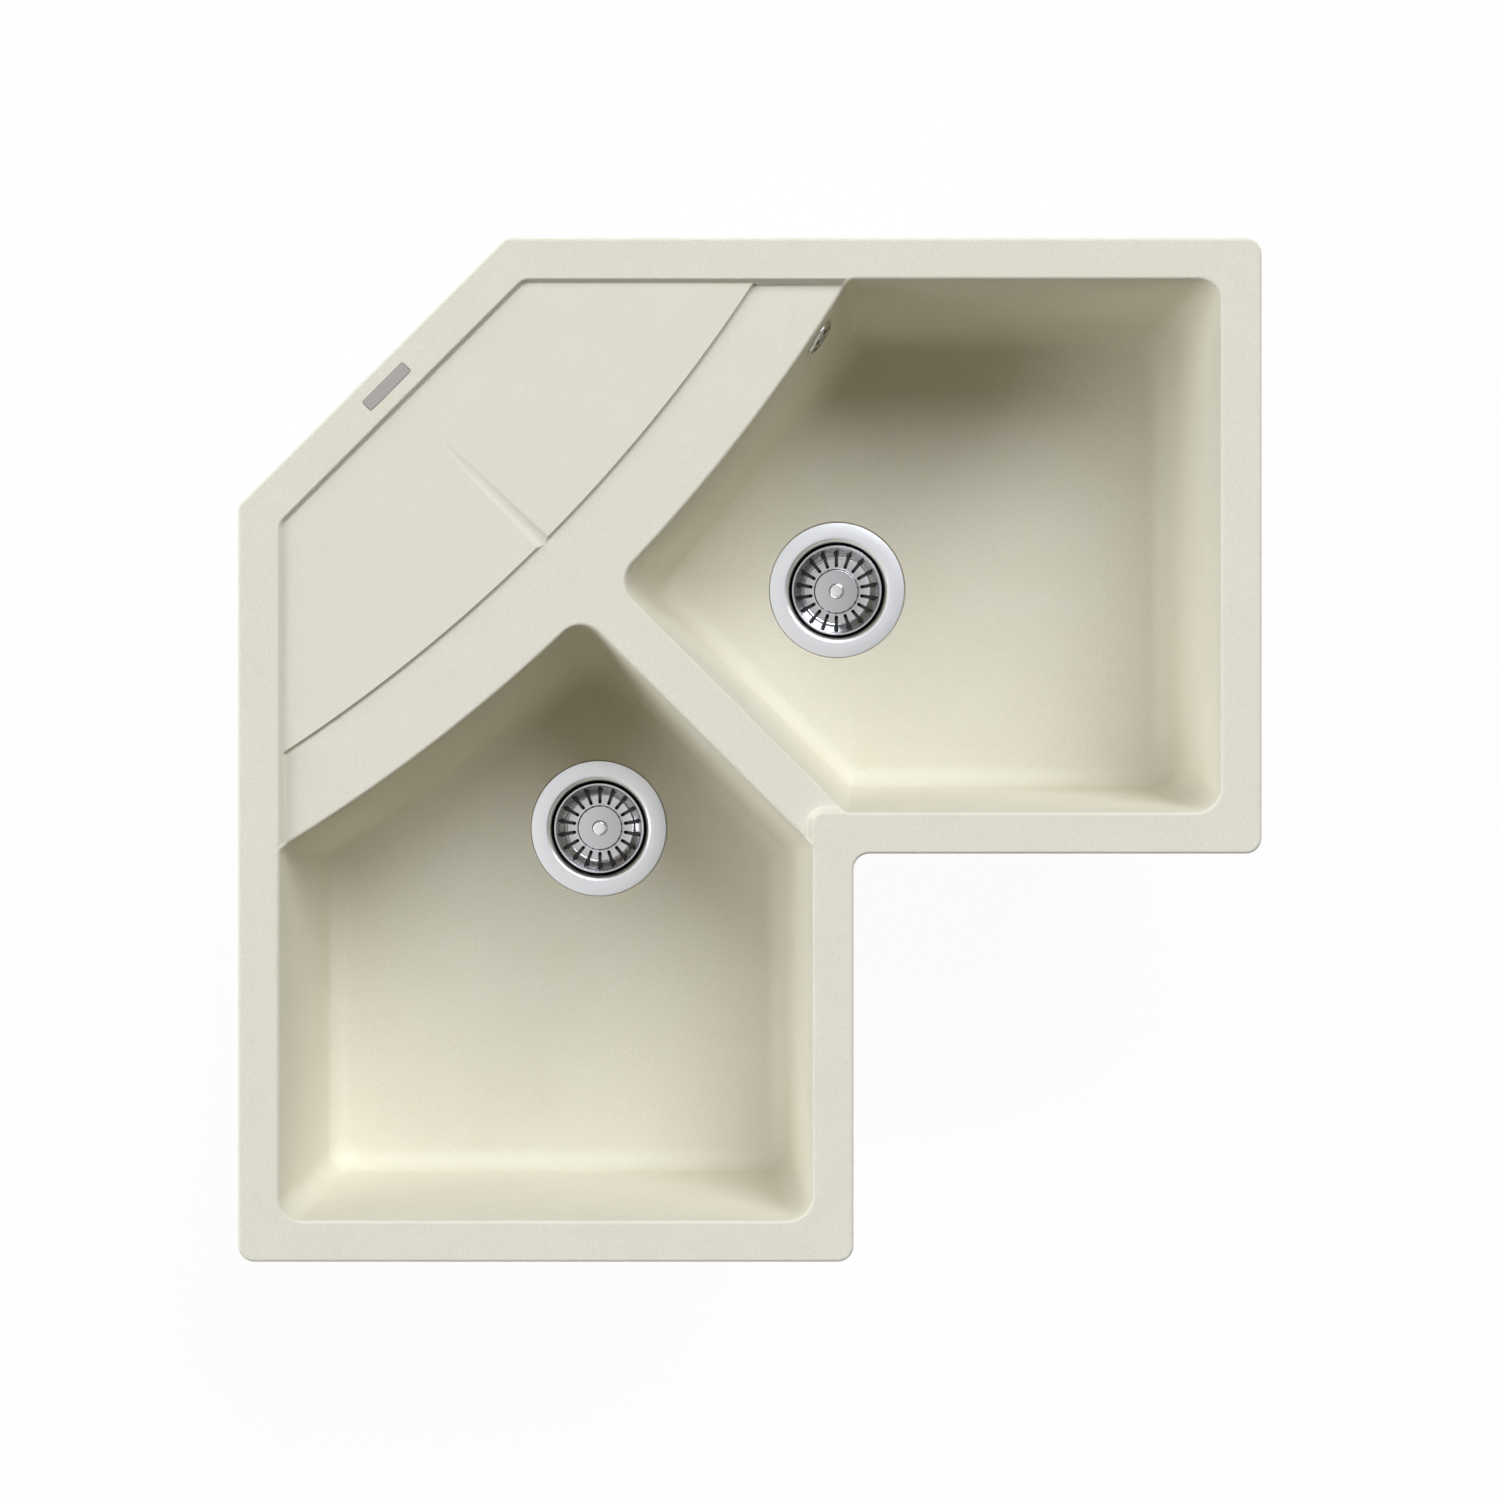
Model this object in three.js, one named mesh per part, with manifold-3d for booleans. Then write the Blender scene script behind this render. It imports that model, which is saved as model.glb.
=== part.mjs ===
// A corner kitchen sink for an L-shaped worktop: two bowls either side of the front notch, a shallow
// drainer in the bevelled back corner, two basket strainers, one overflow and nine hold-down clips.
// Millimetres. The origin is the middle of the square outline, at the worktop's upper surface.
// +Z is up, +X and +Y run along the two back edges, and the bevelled corner lies towards -X and +Y.
import * as THREE from 'three';
import { mergeVertices } from 'three/addons/utils/BufferGeometryUtils.js';
import Module from 'manifold-3d';

const wasm = await Module();
wasm.setup();

// ---------------------------------------------------------------- driving dimensions

// Clearances
const seatGap = 0.3; // between pieces that seat on each other
const cutMargin = 11; // how far a large cutting tool reaches past what it cuts
const overlap = 1; // how far small tools reach past, and joined shapes into each other

// Outline, seen from above
const sinkWidth = 830; // both ways
const bevelLeg = 217; // cut off each edge at the back corner
const notchSide = 331; // square notch at the front corner
const outerCornerRadius = 13;
const bevelCornerRadius = 8;
const notchCornerRadius = 13;
const rimWidth = 33.5; // outer edge to the inner line that bowls and drainer share

// Levels, above the worktop
const rimHeight = 9;
const drainerDrop = 4; // rim to drainer
const bandDrop = 7; // rim to the band and the bridge around the bowls
const rimSealThickness = 1.2;
const rimEdgeRadius = 3;
const rimInnerCornerRadius = 12;
const rimFrontCornerRadius = 9; // the rim's rounded corner at the front end of the bridge
const drainerStepWidth = 4;
const bandStepWidth = 6;

// Drainer and bowls
const drainerLength = 161.8; // along the middle, from the rim to the crease
const creaseRadius = 1317;
const bandWidth = 64; // crease to the bowls' curved edges
const bridgeWidth = 39; // between the bowls
const bowlDepth = 190; // rim to the floor at the foot of a wall
const floorFall = 5; // further down to the waste
const wallLean = 18; // how far a wall comes in on its way down
const floorFillet = 20;
const bowlEdgeRadius = 3.5;
const bowlBackCornerRadius = 18;
const bowlFrontCornerRadius = 21;
const bowlCrotchRadius = 21; // where the curved edge meets the bridge
const bowlArcCornerRadius = 10; // where the curved edge meets the rim
const bowlBridgeCornerRadius = 6; // where the bridge meets the front wall
const shellThickness = 9;

// Drainer groove, a shallow trough along the middle
const grooveLength = 122; // up the drainer from the crease
const grooveDepth = 2.5; // at the crease
const grooveRadius = 6.3;

// Underside
const skirtInset = 14; // rim edge to the skirt that stands in the cut-out
const skirtWidth = 12;
const skirtDepth = 11; // below the drainer's underside
const ribWidth = 6;
const ribSpacing = 110;
const ribDepth = 13; // below the drainer's underside

// Rim seal
const rimSealInset = 3;
const rimSealWidth = 6;

// Badge plate, blank
const badgeLength = 45.8;
const badgeWidth = 10;
const badgeThickness = 0.8;
const badgeRecessDepth = 0.5;
const badgeCornerRadius = 1.5;

// Clips
const clipInset = 21; // rim edge to the screw's axis
const clipBossRadius = 8;
const clipBossDepth = 17; // below the drainer's underside
const clipAnchorRadius = 4.2;
const clipAnchorLength = 14.5;
const clipScrewRadius = 2.5;
const clipScrewLength = 34;
const clipHeadRadius = 5;
const clipHeadHeight = 3.5;
const clipStripWidth = 12;
const clipStripThickness = 2;
const clipArmLength = 32;
const clipTipHeight = 8;
const screwClearance = 0.3;
// How far along its edge each clip stands, as a share of the edge, and the edge's number in the outline.
const clipPlaces = [
  { name: 'right_side', edge: 0, share: 0.45 },
  { name: 'right_back_outer', edge: 1, share: 0.28 },
  { name: 'right_back_inner', edge: 1, share: 0.78 },
  { name: 'back', edge: 2, share: 0.5 },
  { name: 'left_back_inner', edge: 3, share: 0.22 },
  { name: 'left_back_outer', edge: 3, share: 0.72 },
  { name: 'left_side', edge: 4, share: 0.55 },
  { name: 'left_front', edge: 5, share: 0.5 },
  { name: 'right_front', edge: 6, share: 0.5 },
];

// Wastes: their places, then one strainer, whose heights count from the bowl's floor
const wasteFromArc = 129.5; // in from the curved edge
const rightWasteFromBridge = 131.8;
const leftWasteFromBridge = 121.2;
const floorHoleRadius = 45;
const flangeRadius = 58.4;
const flangeThickness = 1;
const flangeStand = 0.6; // flange top above the floor
const recessClearance = 1.2;
const padMargin = 3; // flat floor underside round the flange
const flangeSealThickness = 1;
const flangeSealOverlap = 2.4; // flange beyond its seal
const cupRadius = 41;
const cupMouthRadius = 5;
const cupWall = 1;
const cupDepth = 30;
const cupBottomRadius = 6;
const dimpleRadius = 8.6;
const dimpleDepth = 6;
const drainHoleCount = 6;
const drainHoleRadius = 4.3;
const drainHoleRing = 14.8;

// Basket
const basketRadius = 39;
const basketRimDrop = 3.6; // rim below the bowl's floor
const basketRimWidth = 1.8;
const basketDepth = 23;
const basketFloorRadius = 28;
const basketFootRadius = 31;
const basketWall = 0.8;
const basketCentreRadius = 18.6;
const basketCentreRise = 2;
const basketBend = 1; // how wide the pressed bends are
const basketSlotCount = 18;
const basketSlotWidth = 3;
const basketSlotStart = 21;
const basketSlotEnd = 34.6;

// Plug, knob and retainer
const plugRadius = 24;
const plugHubRadius = 17;
const plugLip = 2.2;
const plugShoulder = 3.7; // from the plug's underside to the foot of its hub
const stemRadius = 2.2;
const knobRadius = 6.6;
const knobNeckRadius = 3.5;
const knobCollarRadius = 5;
const knobHeight = 10;
const knobCapHeight = 4;
const knobEdge = 1.6;
const knobCollarHeight = 1;
const retainerRadius = 5.5;
const retainerThickness = 2;

// Clamp screw and insert
const clampScrewRadius = 3;
const clampHeadRadius = 6;
const clampHeadHeight = 3.3;
const clampHeadEdge = 1;
const clampScrewLength = 14.5;
const insertRadius = 5;
const insertLength = 12;
const insertHoleFloor = 2; // closes the boss under the screw's end

// Waste housing
const floorSealThickness = 2;
const floorSealWidth = 10;
const housingGap = 4; // round the cup
const housingWall = 3;
const housingFlangeWidth = 9; // beyond the wall
const housingFlangeThickness = 4;
const housingDepth = 45; // floor to the end of the straight wall
const housingConeDepth = 13;
const outletRadius = 23.9; // over the thread
const outletBore = 19.5;
const outletLength = 26;
const spiderBossRadius = 8.5;
const spiderRibCount = 3;
const spiderRibWidth = 4;
const spiderRibHeight = 9;
const spiderDrop = 1.5; // ribs below the top of the boss

// Overflow
const overflowDrop = 38; // rim to the cover's middle
const overflowAlong = 281.3; // from the middle of the curved edge
const overflowCoverRadius = 16.5;
const overflowCoverThickness = 3;
const overflowCoverEdge = 1; // height of the cover's upright edge
const overflowCoverBevel = 5;
const overflowCoverHoles = 6;
const overflowCoverHoleRadius = 2.3;
const overflowCoverHoleRing = 10.5;
const overflowBore = 12;
const overflowBossRadius = 20;
const overflowBossStand = 2; // beyond the shell's outer face
const gasketThickness = 2;
const gasketWidth = 6;
const elbowFlangeThickness = 3;
const elbowRadius = 15;
const elbowWall = 3;
const elbowDepth = 22;
const elbowDrop = 34; // chamber axis to the spigot's end
const overflowScrewRadius = 2;
const overflowScrewHeadRadius = 4;
const overflowScrewHeadHeight = 2;
const overflowScrewBossRadius = 4.5;
const spigotRadius = 11;
const spigotBore = 8;
const inletReach = 17; // beyond the housing's wall
const inletDrop = 31; // floor to the inlet's axis
const pipeRadius = 9.5;
const pipeWall = 1.5;
const pipeBend = 45;
const nutRadius = 14.5;
const nutLength = 14;
const nutLip = 3;

// How finely round shapes are faceted
const cornerSteps = 4;
const arcSteps = 8;
const edgeSteps = 2;
const filletSteps = 3;
const roundSides = 24;
const bossSides = 12;
const smallSides = 8;
const pipeSteps = 14;
const pipeSides = 10;

// ---------------------------------------------------------------- derived levels and lines

const halfWidth = sinkWidth / 2;
const bevelDistance = (sinkWidth - bevelLeg) / Math.SQRT2;
const notchLine = halfWidth - notchSide; // the notch takes what lies beyond it, towards +X and -Y
const innerLine = halfWidth - rimWidth;
const bevelInnerLine = bevelDistance - rimWidth;
const notchInnerLine = notchLine - rimWidth;
const drainerLevel = rimHeight - drainerDrop;
const bandLevel = rimHeight - bandDrop;
const rimUnderside = rimSealThickness + seatGap;
const panUnderside = bandLevel - shellThickness;
const skirtBottom = panUnderside - skirtDepth;
const footLevel = rimHeight - bowlDepth;
const floorLevel = footLevel - floorFall;
const creaseApex = bevelInnerLine - drainerLength; // along the diagonal, towards the bevel
const bowlApex = creaseApex - bandWidth;
const arcCentreDistance = creaseApex + creaseRadius;
const arcCentre = diagonal(arcCentreDistance, 0);
const bowlArcRadius = arcCentreDistance - bowlApex;
const recessRadius = flangeRadius + recessClearance;
const padRadius = flangeRadius + padMargin;
const recessDepth = flangeThickness - flangeStand + flangeSealThickness + 2 * seatGap;
const housingRadius = cupRadius + cupWall + housingGap + housingWall;
const housingFlangeRadius = housingRadius + housingFlangeWidth;

// A point from its distance along the diagonal towards the bevel, and across it towards the right bowl.
function diagonal(along, across) {
  return new THREE.Vector2((across - along) / Math.SQRT2, (across + along) / Math.SQRT2);
}

// ---------------------------------------------------------------- joining and cutting

function solid(geometry) {
  const bare = geometry.clone();
  bare.deleteAttribute('normal');
  bare.deleteAttribute('uv');
  const weldDistance = 1e-4;
  const welded = mergeVertices(bare, weldDistance);
  const corners = welded.index.array;
  const kept = [];
  for (let i = 0; i < corners.length; i += 3) {
    const [a, b, c] = corners.slice(i, i + 3);
    if (a !== b && b !== c && c !== a) kept.push(a, b, c);
  }
  const vertProperties = new Float32Array(welded.attributes.position.array);
  return new wasm.Manifold(new wasm.Mesh({ numProp: 3, vertProperties, triVerts: new Uint32Array(kept) }));
}

function geometryOf(manifold) {
  const { vertProperties, triVerts } = manifold.getMesh();
  const geometry = new THREE.BufferGeometry();
  geometry.setAttribute('position', new THREE.BufferAttribute(vertProperties, 3));
  geometry.setIndex(new THREE.BufferAttribute(triVerts, 1));
  return geometry;
}

function joined(first, ...others) {
  return geometryOf(others.reduce((whole, piece) => whole.add(solid(piece)), solid(first)));
}

function cut(body, ...tools) {
  return geometryOf(tools.reduce((rest, tool) => rest.subtract(solid(tool)), solid(body)));
}

function shared(first, second) {
  return geometryOf(solid(first).intersect(solid(second)));
}

// ---------------------------------------------------------------- simple shapes

// A turned piece about +Z. Its half section lists [radius, height] from the bottom up round the outside.
function turned(section, sides = roundSides) {
  const profile = section.map(([radius, height]) => new THREE.Vector2(radius, height));
  const onAxis = profile[0].x === 0 && profile[profile.length - 1].x === 0;
  if (!onAxis) profile.push(profile[0].clone());
  return new THREE.LatheGeometry(profile, sides).rotateX(Math.PI / 2);
}

function rod(radius, low, high, sides = roundSides) {
  return turned([[0, low], [radius, low], [radius, high], [0, high]], sides);
}

function ring(inner, outer, low, high, sides = roundSides) {
  return turned([[inner, low], [outer, low], [outer, high], [inner, high]], sides);
}

function block(length, width, low, high) {
  return new THREE.BoxGeometry(length, width, high - low).translate(0, 0, (low + high) / 2);
}

function hexagon(acrossCorners, low, high) {
  return turned([[0, low], [acrossCorners, low], [acrossCorners, high], [0, high]], 6);
}

// Copies of a tool at equal angles round +Z.
function around(count, tool) {
  return Array.from({ length: count }, (_, i) => tool.clone().rotateZ((2 * Math.PI * i) / count));
}

// ---------------------------------------------------------------- outlines

// An outline is a ring of edges, counter-clockwise from above, and the radius of the corner after each
// edge. A straight edge lies at a distance from the origin, square to its outward angle. A curved edge is
// a circle, with the outline outside it. A radius below zero rounds a corner that points inwards.
// The level is the height of the surface that the edge borders.
function straight(degrees, distance, level = 0) {
  const angle = THREE.MathUtils.degToRad(degrees);
  return { outward: new THREE.Vector2(Math.cos(angle), Math.sin(angle)), distance, level };
}

function curved(centre, radius, level = 0) {
  return { centre, radius, level };
}

function moved(edge, inset) {
  if (edge.centre) return { ...edge, radius: edge.radius + inset };
  return { ...edge, distance: edge.distance - inset };
}

// Where two edges cross, on the side nearer the origin.
function crossing(a, b) {
  if (a.centre) return crossing(b, a);
  const along = new THREE.Vector2(-a.outward.y, a.outward.x);
  if (b.centre) {
    const reach = a.distance - a.outward.dot(b.centre);
    const middle = b.centre.clone().addScaledVector(a.outward, reach);
    const half = Math.sqrt(b.radius ** 2 - reach ** 2);
    const ends = [half, -half].map((step) => middle.clone().addScaledVector(along, step));
    return ends[0].length() < ends[1].length() ? ends[0] : ends[1];
  }
  const step = (b.distance - a.distance * a.outward.dot(b.outward)) / along.dot(b.outward);
  return a.outward.clone().multiplyScalar(a.distance).addScaledVector(along, step);
}

function nearestOn(edge, point) {
  if (edge.centre) return point.clone().sub(edge.centre).setLength(edge.radius).add(edge.centre);
  return point.clone().addScaledVector(edge.outward, edge.distance - edge.outward.dot(point));
}

// The outline's points, moved inwards by inset. Inset corners keep their radius, and outset ones grow.
function outlinePoints({ edges, radii }, inset = 0, steps = cornerSteps) {
  const sides = edges.map((edge) => moved(edge, inset));
  const corners = sides.map((edge, i) => {
    const next = sides[(i + 1) % sides.length];
    const radius = radii[i] > 0 ? radii[i] + Math.max(-inset, 0) : radii[i] - inset;
    const centre = crossing(moved(edge, radius), moved(next, radius));
    return { centre, from: nearestOn(edge, centre), to: nearestOn(next, centre), edge, next };
  });
  return corners.flatMap((corner, i) => {
    const { centre, from, to, edge, next } = corner;
    const start = from.clone().sub(centre);
    const turn = angleBetween(start, to.clone().sub(centre));
    const points = Array.from({ length: steps + 1 }, (_, k) => {
      const share = k / steps;
      const spot = from.clone().rotateAround(centre, turn * share);
      return { x: spot.x, y: spot.y, level: THREE.MathUtils.lerp(edge.level, next.level, share) };
    });
    if (!next.centre) return points;
    const end = corners[(i + 1) % corners.length].from;
    const sweep = angleBetween(to.clone().sub(next.centre), end.clone().sub(next.centre));
    for (let k = 1; k < arcSteps; k += 1) {
      const spot = to.clone().rotateAround(next.centre, (sweep * k) / arcSteps);
      points.push({ x: spot.x, y: spot.y, level: next.level });
    }
    return points;
  });
}

function angleBetween(from, to) {
  return Math.atan2(from.cross(to), from.dot(to));
}

function atHeight(points, height) {
  return points.map(({ x, y }) => new THREE.Vector3(x, y, height));
}

// A closed skin over rings of points, listed from the bottom up.
function loft(rings) {
  const count = rings[0].length;
  const positions = rings.flat().flatMap((point) => point.toArray());
  const index = [];
  for (let level = 0; level < rings.length - 1; level += 1) {
    for (let k = 0; k < count; k += 1) {
      const next = (k + 1) % count;
      const low = level * count;
      const high = low + count;
      index.push(low + k, low + next, high + next, low + k, high + next, high + k);
    }
  }
  const flat = (points) => points.map(({ x, y }) => new THREE.Vector2(x, y));
  const top = (rings.length - 1) * count;
  for (const [a, b, c] of THREE.ShapeUtils.triangulateShape(flat(rings[0]), [])) index.push(c, b, a);
  for (const [a, b, c] of THREE.ShapeUtils.triangulateShape(flat(rings[rings.length - 1]), [])) {
    index.push(top + a, top + b, top + c);
  }
  const geometry = new THREE.BufferGeometry();
  geometry.setAttribute('position', new THREE.Float32BufferAttribute(positions, 3));
  geometry.setIndex(index);
  return geometry;
}

// A plate with the outline's shape; each stage is [inset, height], from the bottom up.
function plate(outline, stages) {
  return loft(stages.map(([inset, height]) => atHeight(outlinePoints(outline, inset), height)));
}

const outerOutline = {
  edges: [
    straight(0, halfWidth),
    straight(90, halfWidth),
    straight(135, bevelDistance),
    straight(180, halfWidth),
    straight(270, halfWidth),
    straight(0, notchLine),
    straight(270, notchLine),
  ],
  radii: [
    outerCornerRadius,
    bevelCornerRadius,
    bevelCornerRadius,
    outerCornerRadius,
    outerCornerRadius,
    -notchCornerRadius,
    outerCornerRadius,
  ],
};

const rimInnerOutline = {
  edges: outerOutline.edges.map((edge) => moved(edge, rimWidth)),
  radii: [
    bowlBackCornerRadius,
    rimInnerCornerRadius,
    rimInnerCornerRadius,
    bowlBackCornerRadius,
    bowlFrontCornerRadius,
    -rimFrontCornerRadius,
    bowlFrontCornerRadius,
  ],
};

// The band and the bridge: the rim's inner outline, up to the crease.
const bandOutline = {
  edges: rimInnerOutline.edges.with(2, curved(arcCentre, creaseRadius - bandStepWidth)),
  radii: rimInnerOutline.radii,
};

const bowlOutline = {
  edges: [
    straight(0, innerLine, rimHeight),
    straight(90, innerLine, rimHeight),
    curved(arcCentre, bowlArcRadius, bandLevel),
    straight(225, -bridgeWidth / 2, bandLevel),
    straight(270, notchInnerLine, rimHeight),
  ],
  radii: [
    bowlBackCornerRadius,
    bowlArcCornerRadius,
    bowlCrotchRadius,
    bowlBridgeCornerRadius,
    bowlFrontCornerRadius,
  ],
};

// The two bowls mirror each other across the diagonal, apart from how far the waste is from the bridge.
const rightBowl = {
  mirrored: false,
  waste: diagonal(bowlApex - wasteFromArc, bridgeWidth / 2 + rightWasteFromBridge),
};
const leftBowl = {
  mirrored: true,
  waste: diagonal(bowlApex - wasteFromArc, bridgeWidth / 2 + leftWasteFromBridge),
};

function acrossDiagonal({ x, y, z = 0 }) {
  return new THREE.Vector3(-y, -x, z);
}

function wastePlace(bowl) {
  const flat = bowl.mirrored ? acrossDiagonal(bowl.waste) : bowl.waste;
  return new THREE.Vector3(flat.x, flat.y, floorLevel);
}

// A circle round the waste, with its points in line with those of the ring above it.
function wasteRing(bowl, above, radius, height) {
  return above.map(({ x, y }) => {
    const spot = new THREE.Vector2(x, y).sub(bowl.waste).setLength(radius).add(bowl.waste);
    return new THREE.Vector3(spot.x, spot.y, height);
  });
}

// Rings of the bowl's surface from the waste up to where the wall ends, moved outwards by offset.
function bowlRings(bowl, offset, wallTop) {
  const foot = footLevel + floorFillet;
  const radius = floorFillet + offset;
  const fillet = Array.from({ length: filletSteps + 1 }, (_, k) => {
    const angle = (Math.PI / 2) * (1 - k / filletSteps);
    const inset = wallLean - offset + radius * (1 - Math.cos(angle));
    return atHeight(outlinePoints(bowlOutline, inset), foot - radius * Math.sin(angle));
  });
  const floor = wasteRing(bowl, fillet[0], padRadius, floorLevel - offset);
  return [floor, ...fillet, ...wallTop];
}

function bowlSolid(bowl, rings) {
  return loft(bowl.mirrored ? rings.map((points) => points.map(acrossDiagonal).reverse()) : rings);
}

// The bowl's inside, with its upper edge rounded over, up past the rim.
function bowlCutter(bowl) {
  const edge = Array.from({ length: edgeSteps + 1 }, (_, k) => {
    const angle = (Math.PI / 2) * (1 - k / edgeSteps);
    const inset = -bowlEdgeRadius * (1 - Math.sin(angle));
    const below = bowlEdgeRadius * (1 - Math.cos(angle));
    return outlinePoints(bowlOutline, inset).map(({ x, y, level }) => new THREE.Vector3(x, y, level - below));
  });
  const top = atHeight(outlinePoints(bowlOutline, -bowlEdgeRadius), rimHeight + cutMargin);
  return bowlSolid(bowl, bowlRings(bowl, 0, [...edge, top]));
}

function bowlShell(bowl) {
  const start = atHeight(outlinePoints(bowlOutline, -shellThickness), bandLevel - bowlEdgeRadius);
  const top = atHeight(outlinePoints(bowlOutline, -shellThickness), rimUnderside);
  return bowlSolid(bowl, bowlRings(bowl, shellThickness, [start, top]));
}

// ---------------------------------------------------------------- where clips and overflow stand

// A clip's place: its spot on the line of screws, and the outward angle of its edge.
function clipPlace({ edge, share }) {
  const { edges } = outerOutline;
  const line = moved(edges[edge], clipInset);
  const before = moved(edges[(edge + edges.length - 1) % edges.length], clipInset);
  const after = moved(edges[(edge + 1) % edges.length], clipInset);
  const spot = crossing(before, line).lerp(crossing(line, after), share);
  return { spot, angle: line.outward.angle() };
}

function atClip(geometry, place) {
  const { spot, angle } = clipPlace(place);
  return geometry.rotateZ(angle).translate(spot.x, spot.y, 0);
}

// How far a wall has come in at a height, below its rounded edge at the band's level.
function wallInset(height) {
  const top = bandLevel - bowlEdgeRadius;
  return (wallLean * (top - height)) / (top - footLevel - floorFillet);
}

// The overflow's frame: its +Z points out of the right bowl's curved wall.
const overflowHeight = rimHeight - overflowDrop;
const overflowOutward = diagonal(-1, 0).rotateAround(new THREE.Vector2(), overflowAlong / bowlArcRadius);
const overflowSpot = overflowOutward
  .clone()
  .multiplyScalar(bowlArcRadius + wallInset(overflowHeight))
  .add(arcCentre);
const leanAngle = Math.atan(wallInset(bandLevel - bowlEdgeRadius - 1));
const overflowFrame = new THREE.Matrix4().makeBasis(
  new THREE.Vector3(-overflowOutward.y, overflowOutward.x, 0),
  new THREE.Vector3(
    -overflowOutward.x * Math.sin(leanAngle),
    -overflowOutward.y * Math.sin(leanAngle),
    Math.cos(leanAngle),
  ),
  new THREE.Vector3(
    overflowOutward.x * Math.cos(leanAngle),
    overflowOutward.y * Math.cos(leanAngle),
    Math.sin(leanAngle),
  ),
).setPosition(overflowSpot.x, overflowSpot.y, overflowHeight);
const overflowSeat = -shellThickness - overflowBossStand; // the gasket's face on the moulding
const elbowFront = overflowSeat - gasketThickness - 2 * seatGap;
const chamberMiddle = elbowFront - elbowDepth / 2;
const chamberSpot = new THREE.Vector3(0, 0, chamberMiddle).applyMatrix4(overflowFrame);

// ---------------------------------------------------------------- the moulding

function rimPlate() {
  const rounding = Array.from({ length: edgeSteps + 1 }, (_, k) => {
    const angle = ((Math.PI / 2) * k) / edgeSteps;
    return [rimEdgeRadius * (1 - Math.cos(angle)), rimHeight - rimEdgeRadius * (1 - Math.sin(angle))];
  });
  return plate(outerOutline, [[0, rimUnderside], ...rounding]);
}

function skirt() {
  const outside = plate(outerOutline, [[skirtInset, skirtBottom], [skirtInset, drainerLevel - overlap]]);
  const inside = plate(outerOutline, [
    [skirtInset + skirtWidth, skirtBottom - cutMargin],
    [skirtInset + skirtWidth, panUnderside],
  ]);
  return cut(outside, inside);
}

// Stiffening ribs under the drainer, along the diagonal.
function ribs() {
  const low = creaseApex - bandWidth;
  const high = bevelInnerLine;
  return [-ribSpacing, 0, ribSpacing].map((across) => {
    const middle = diagonal((low + high) / 2, across);
    return block(high - low, ribWidth, panUnderside - ribDepth, drainerLevel - overlap)
      .rotateZ(THREE.MathUtils.degToRad(135))
      .translate(middle.x, middle.y, 0);
  });
}

function pockets() {
  const drainer = plate(rimInnerOutline, [
    [drainerStepWidth, drainerLevel],
    [0, rimHeight],
    [0, rimHeight + cutMargin],
  ]);
  const band = plate(bandOutline, [
    [bandStepWidth, bandLevel],
    [0, rimHeight],
    [0, rimHeight + cutMargin],
  ]);
  return [drainer, band];
}

// A round trough that runs out up the drainer and is deepest at the crease.
function groove() {
  const slope = Math.atan(grooveDepth / grooveLength);
  const length = grooveLength + 2 * grooveRadius;
  const tip = diagonal(creaseApex - bandStepWidth / 2, 0);
  return rod(grooveRadius, 0, length)
    .rotateY(Math.PI / 2 - slope)
    .translate(0, 0, grooveRadius + drainerLevel - grooveDepth)
    .rotateZ(THREE.MathUtils.degToRad(135))
    .translate(tip.x, tip.y, 0);
}

function badgeOutline(margin) {
  return {
    edges: [
      straight(0, badgeLength / 2 + margin),
      straight(90, badgeWidth / 2 + margin),
      straight(180, badgeLength / 2 + margin),
      straight(270, badgeWidth / 2 + margin),
    ],
    radii: [badgeCornerRadius, badgeCornerRadius, badgeCornerRadius, badgeCornerRadius],
  };
}

// A plate of the badge's shape, in its place on the bevelled corner's rim.
function onBadgePlace(margin, low, high) {
  const middle = diagonal(bevelDistance - rimWidth / 2, 0);
  return plate(badgeOutline(margin), [[0, low], [0, high]])
    .rotateZ(THREE.MathUtils.degToRad(45))
    .translate(middle.x, middle.y, 0);
}

function sinkBody() {
  const bowls = [rightBowl, leftBowl];
  const bosses = clipPlaces.map((place) =>
    atClip(rod(clipBossRadius, panUnderside - clipBossDepth, rimUnderside + overlap, bossSides), place));
  const bossHoles = clipPlaces.map((place) =>
    atClip(
      rod(
        clipAnchorRadius + seatGap,
        panUnderside - clipBossDepth - overlap,
        panUnderside - clipBossDepth + clipAnchorLength + 2 * seatGap,
        smallSides,
      ),
      place,
    ));
  const overflowBoss = rod(overflowBossRadius, overflowSeat, -overlap).applyMatrix4(overflowFrame);
  const overflowHole = rod(overflowBore, overflowSeat - cutMargin, cutMargin).applyMatrix4(overflowFrame);
  const wasteCuts = bowls.flatMap((bowl) => {
    const { x, y, z } = wastePlace(bowl);
    return [
      rod(recessRadius, z - recessDepth, z + cutMargin).translate(x, y, 0),
      rod(floorHoleRadius, z - shellThickness - cutMargin, z).translate(x, y, 0),
    ];
  });
  const whole = joined(
    rimPlate(),
    plate(outerOutline, [[skirtInset, panUnderside], [skirtInset, drainerLevel]]),
    skirt(),
    ...ribs(),
    ...bowls.map(bowlShell),
    ...bosses,
    overflowBoss,
  );
  return cut(
    whole,
    ...pockets(),
    ...bowls.map(bowlCutter),
    groove(),
    onBadgePlace(seatGap, rimHeight - badgeRecessDepth, rimHeight + overlap),
    ...bossHoles,
    overflowHole,
    ...wasteCuts,
  );
}

function rimSeal() {
  const outside = plate(outerOutline, [[rimSealInset, 0], [rimSealInset, rimSealThickness]]);
  const inner = rimSealInset + rimSealWidth;
  const inside = plate(outerOutline, [[inner, -overlap], [inner, rimSealThickness + overlap]]);
  return cut(outside, inside);
}

function badgePlate() {
  const low = rimHeight - badgeRecessDepth + seatGap;
  return onBadgePlace(0, low, low + badgeThickness);
}

// ---------------------------------------------------------------- clips, +X outwards from the sink

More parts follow.
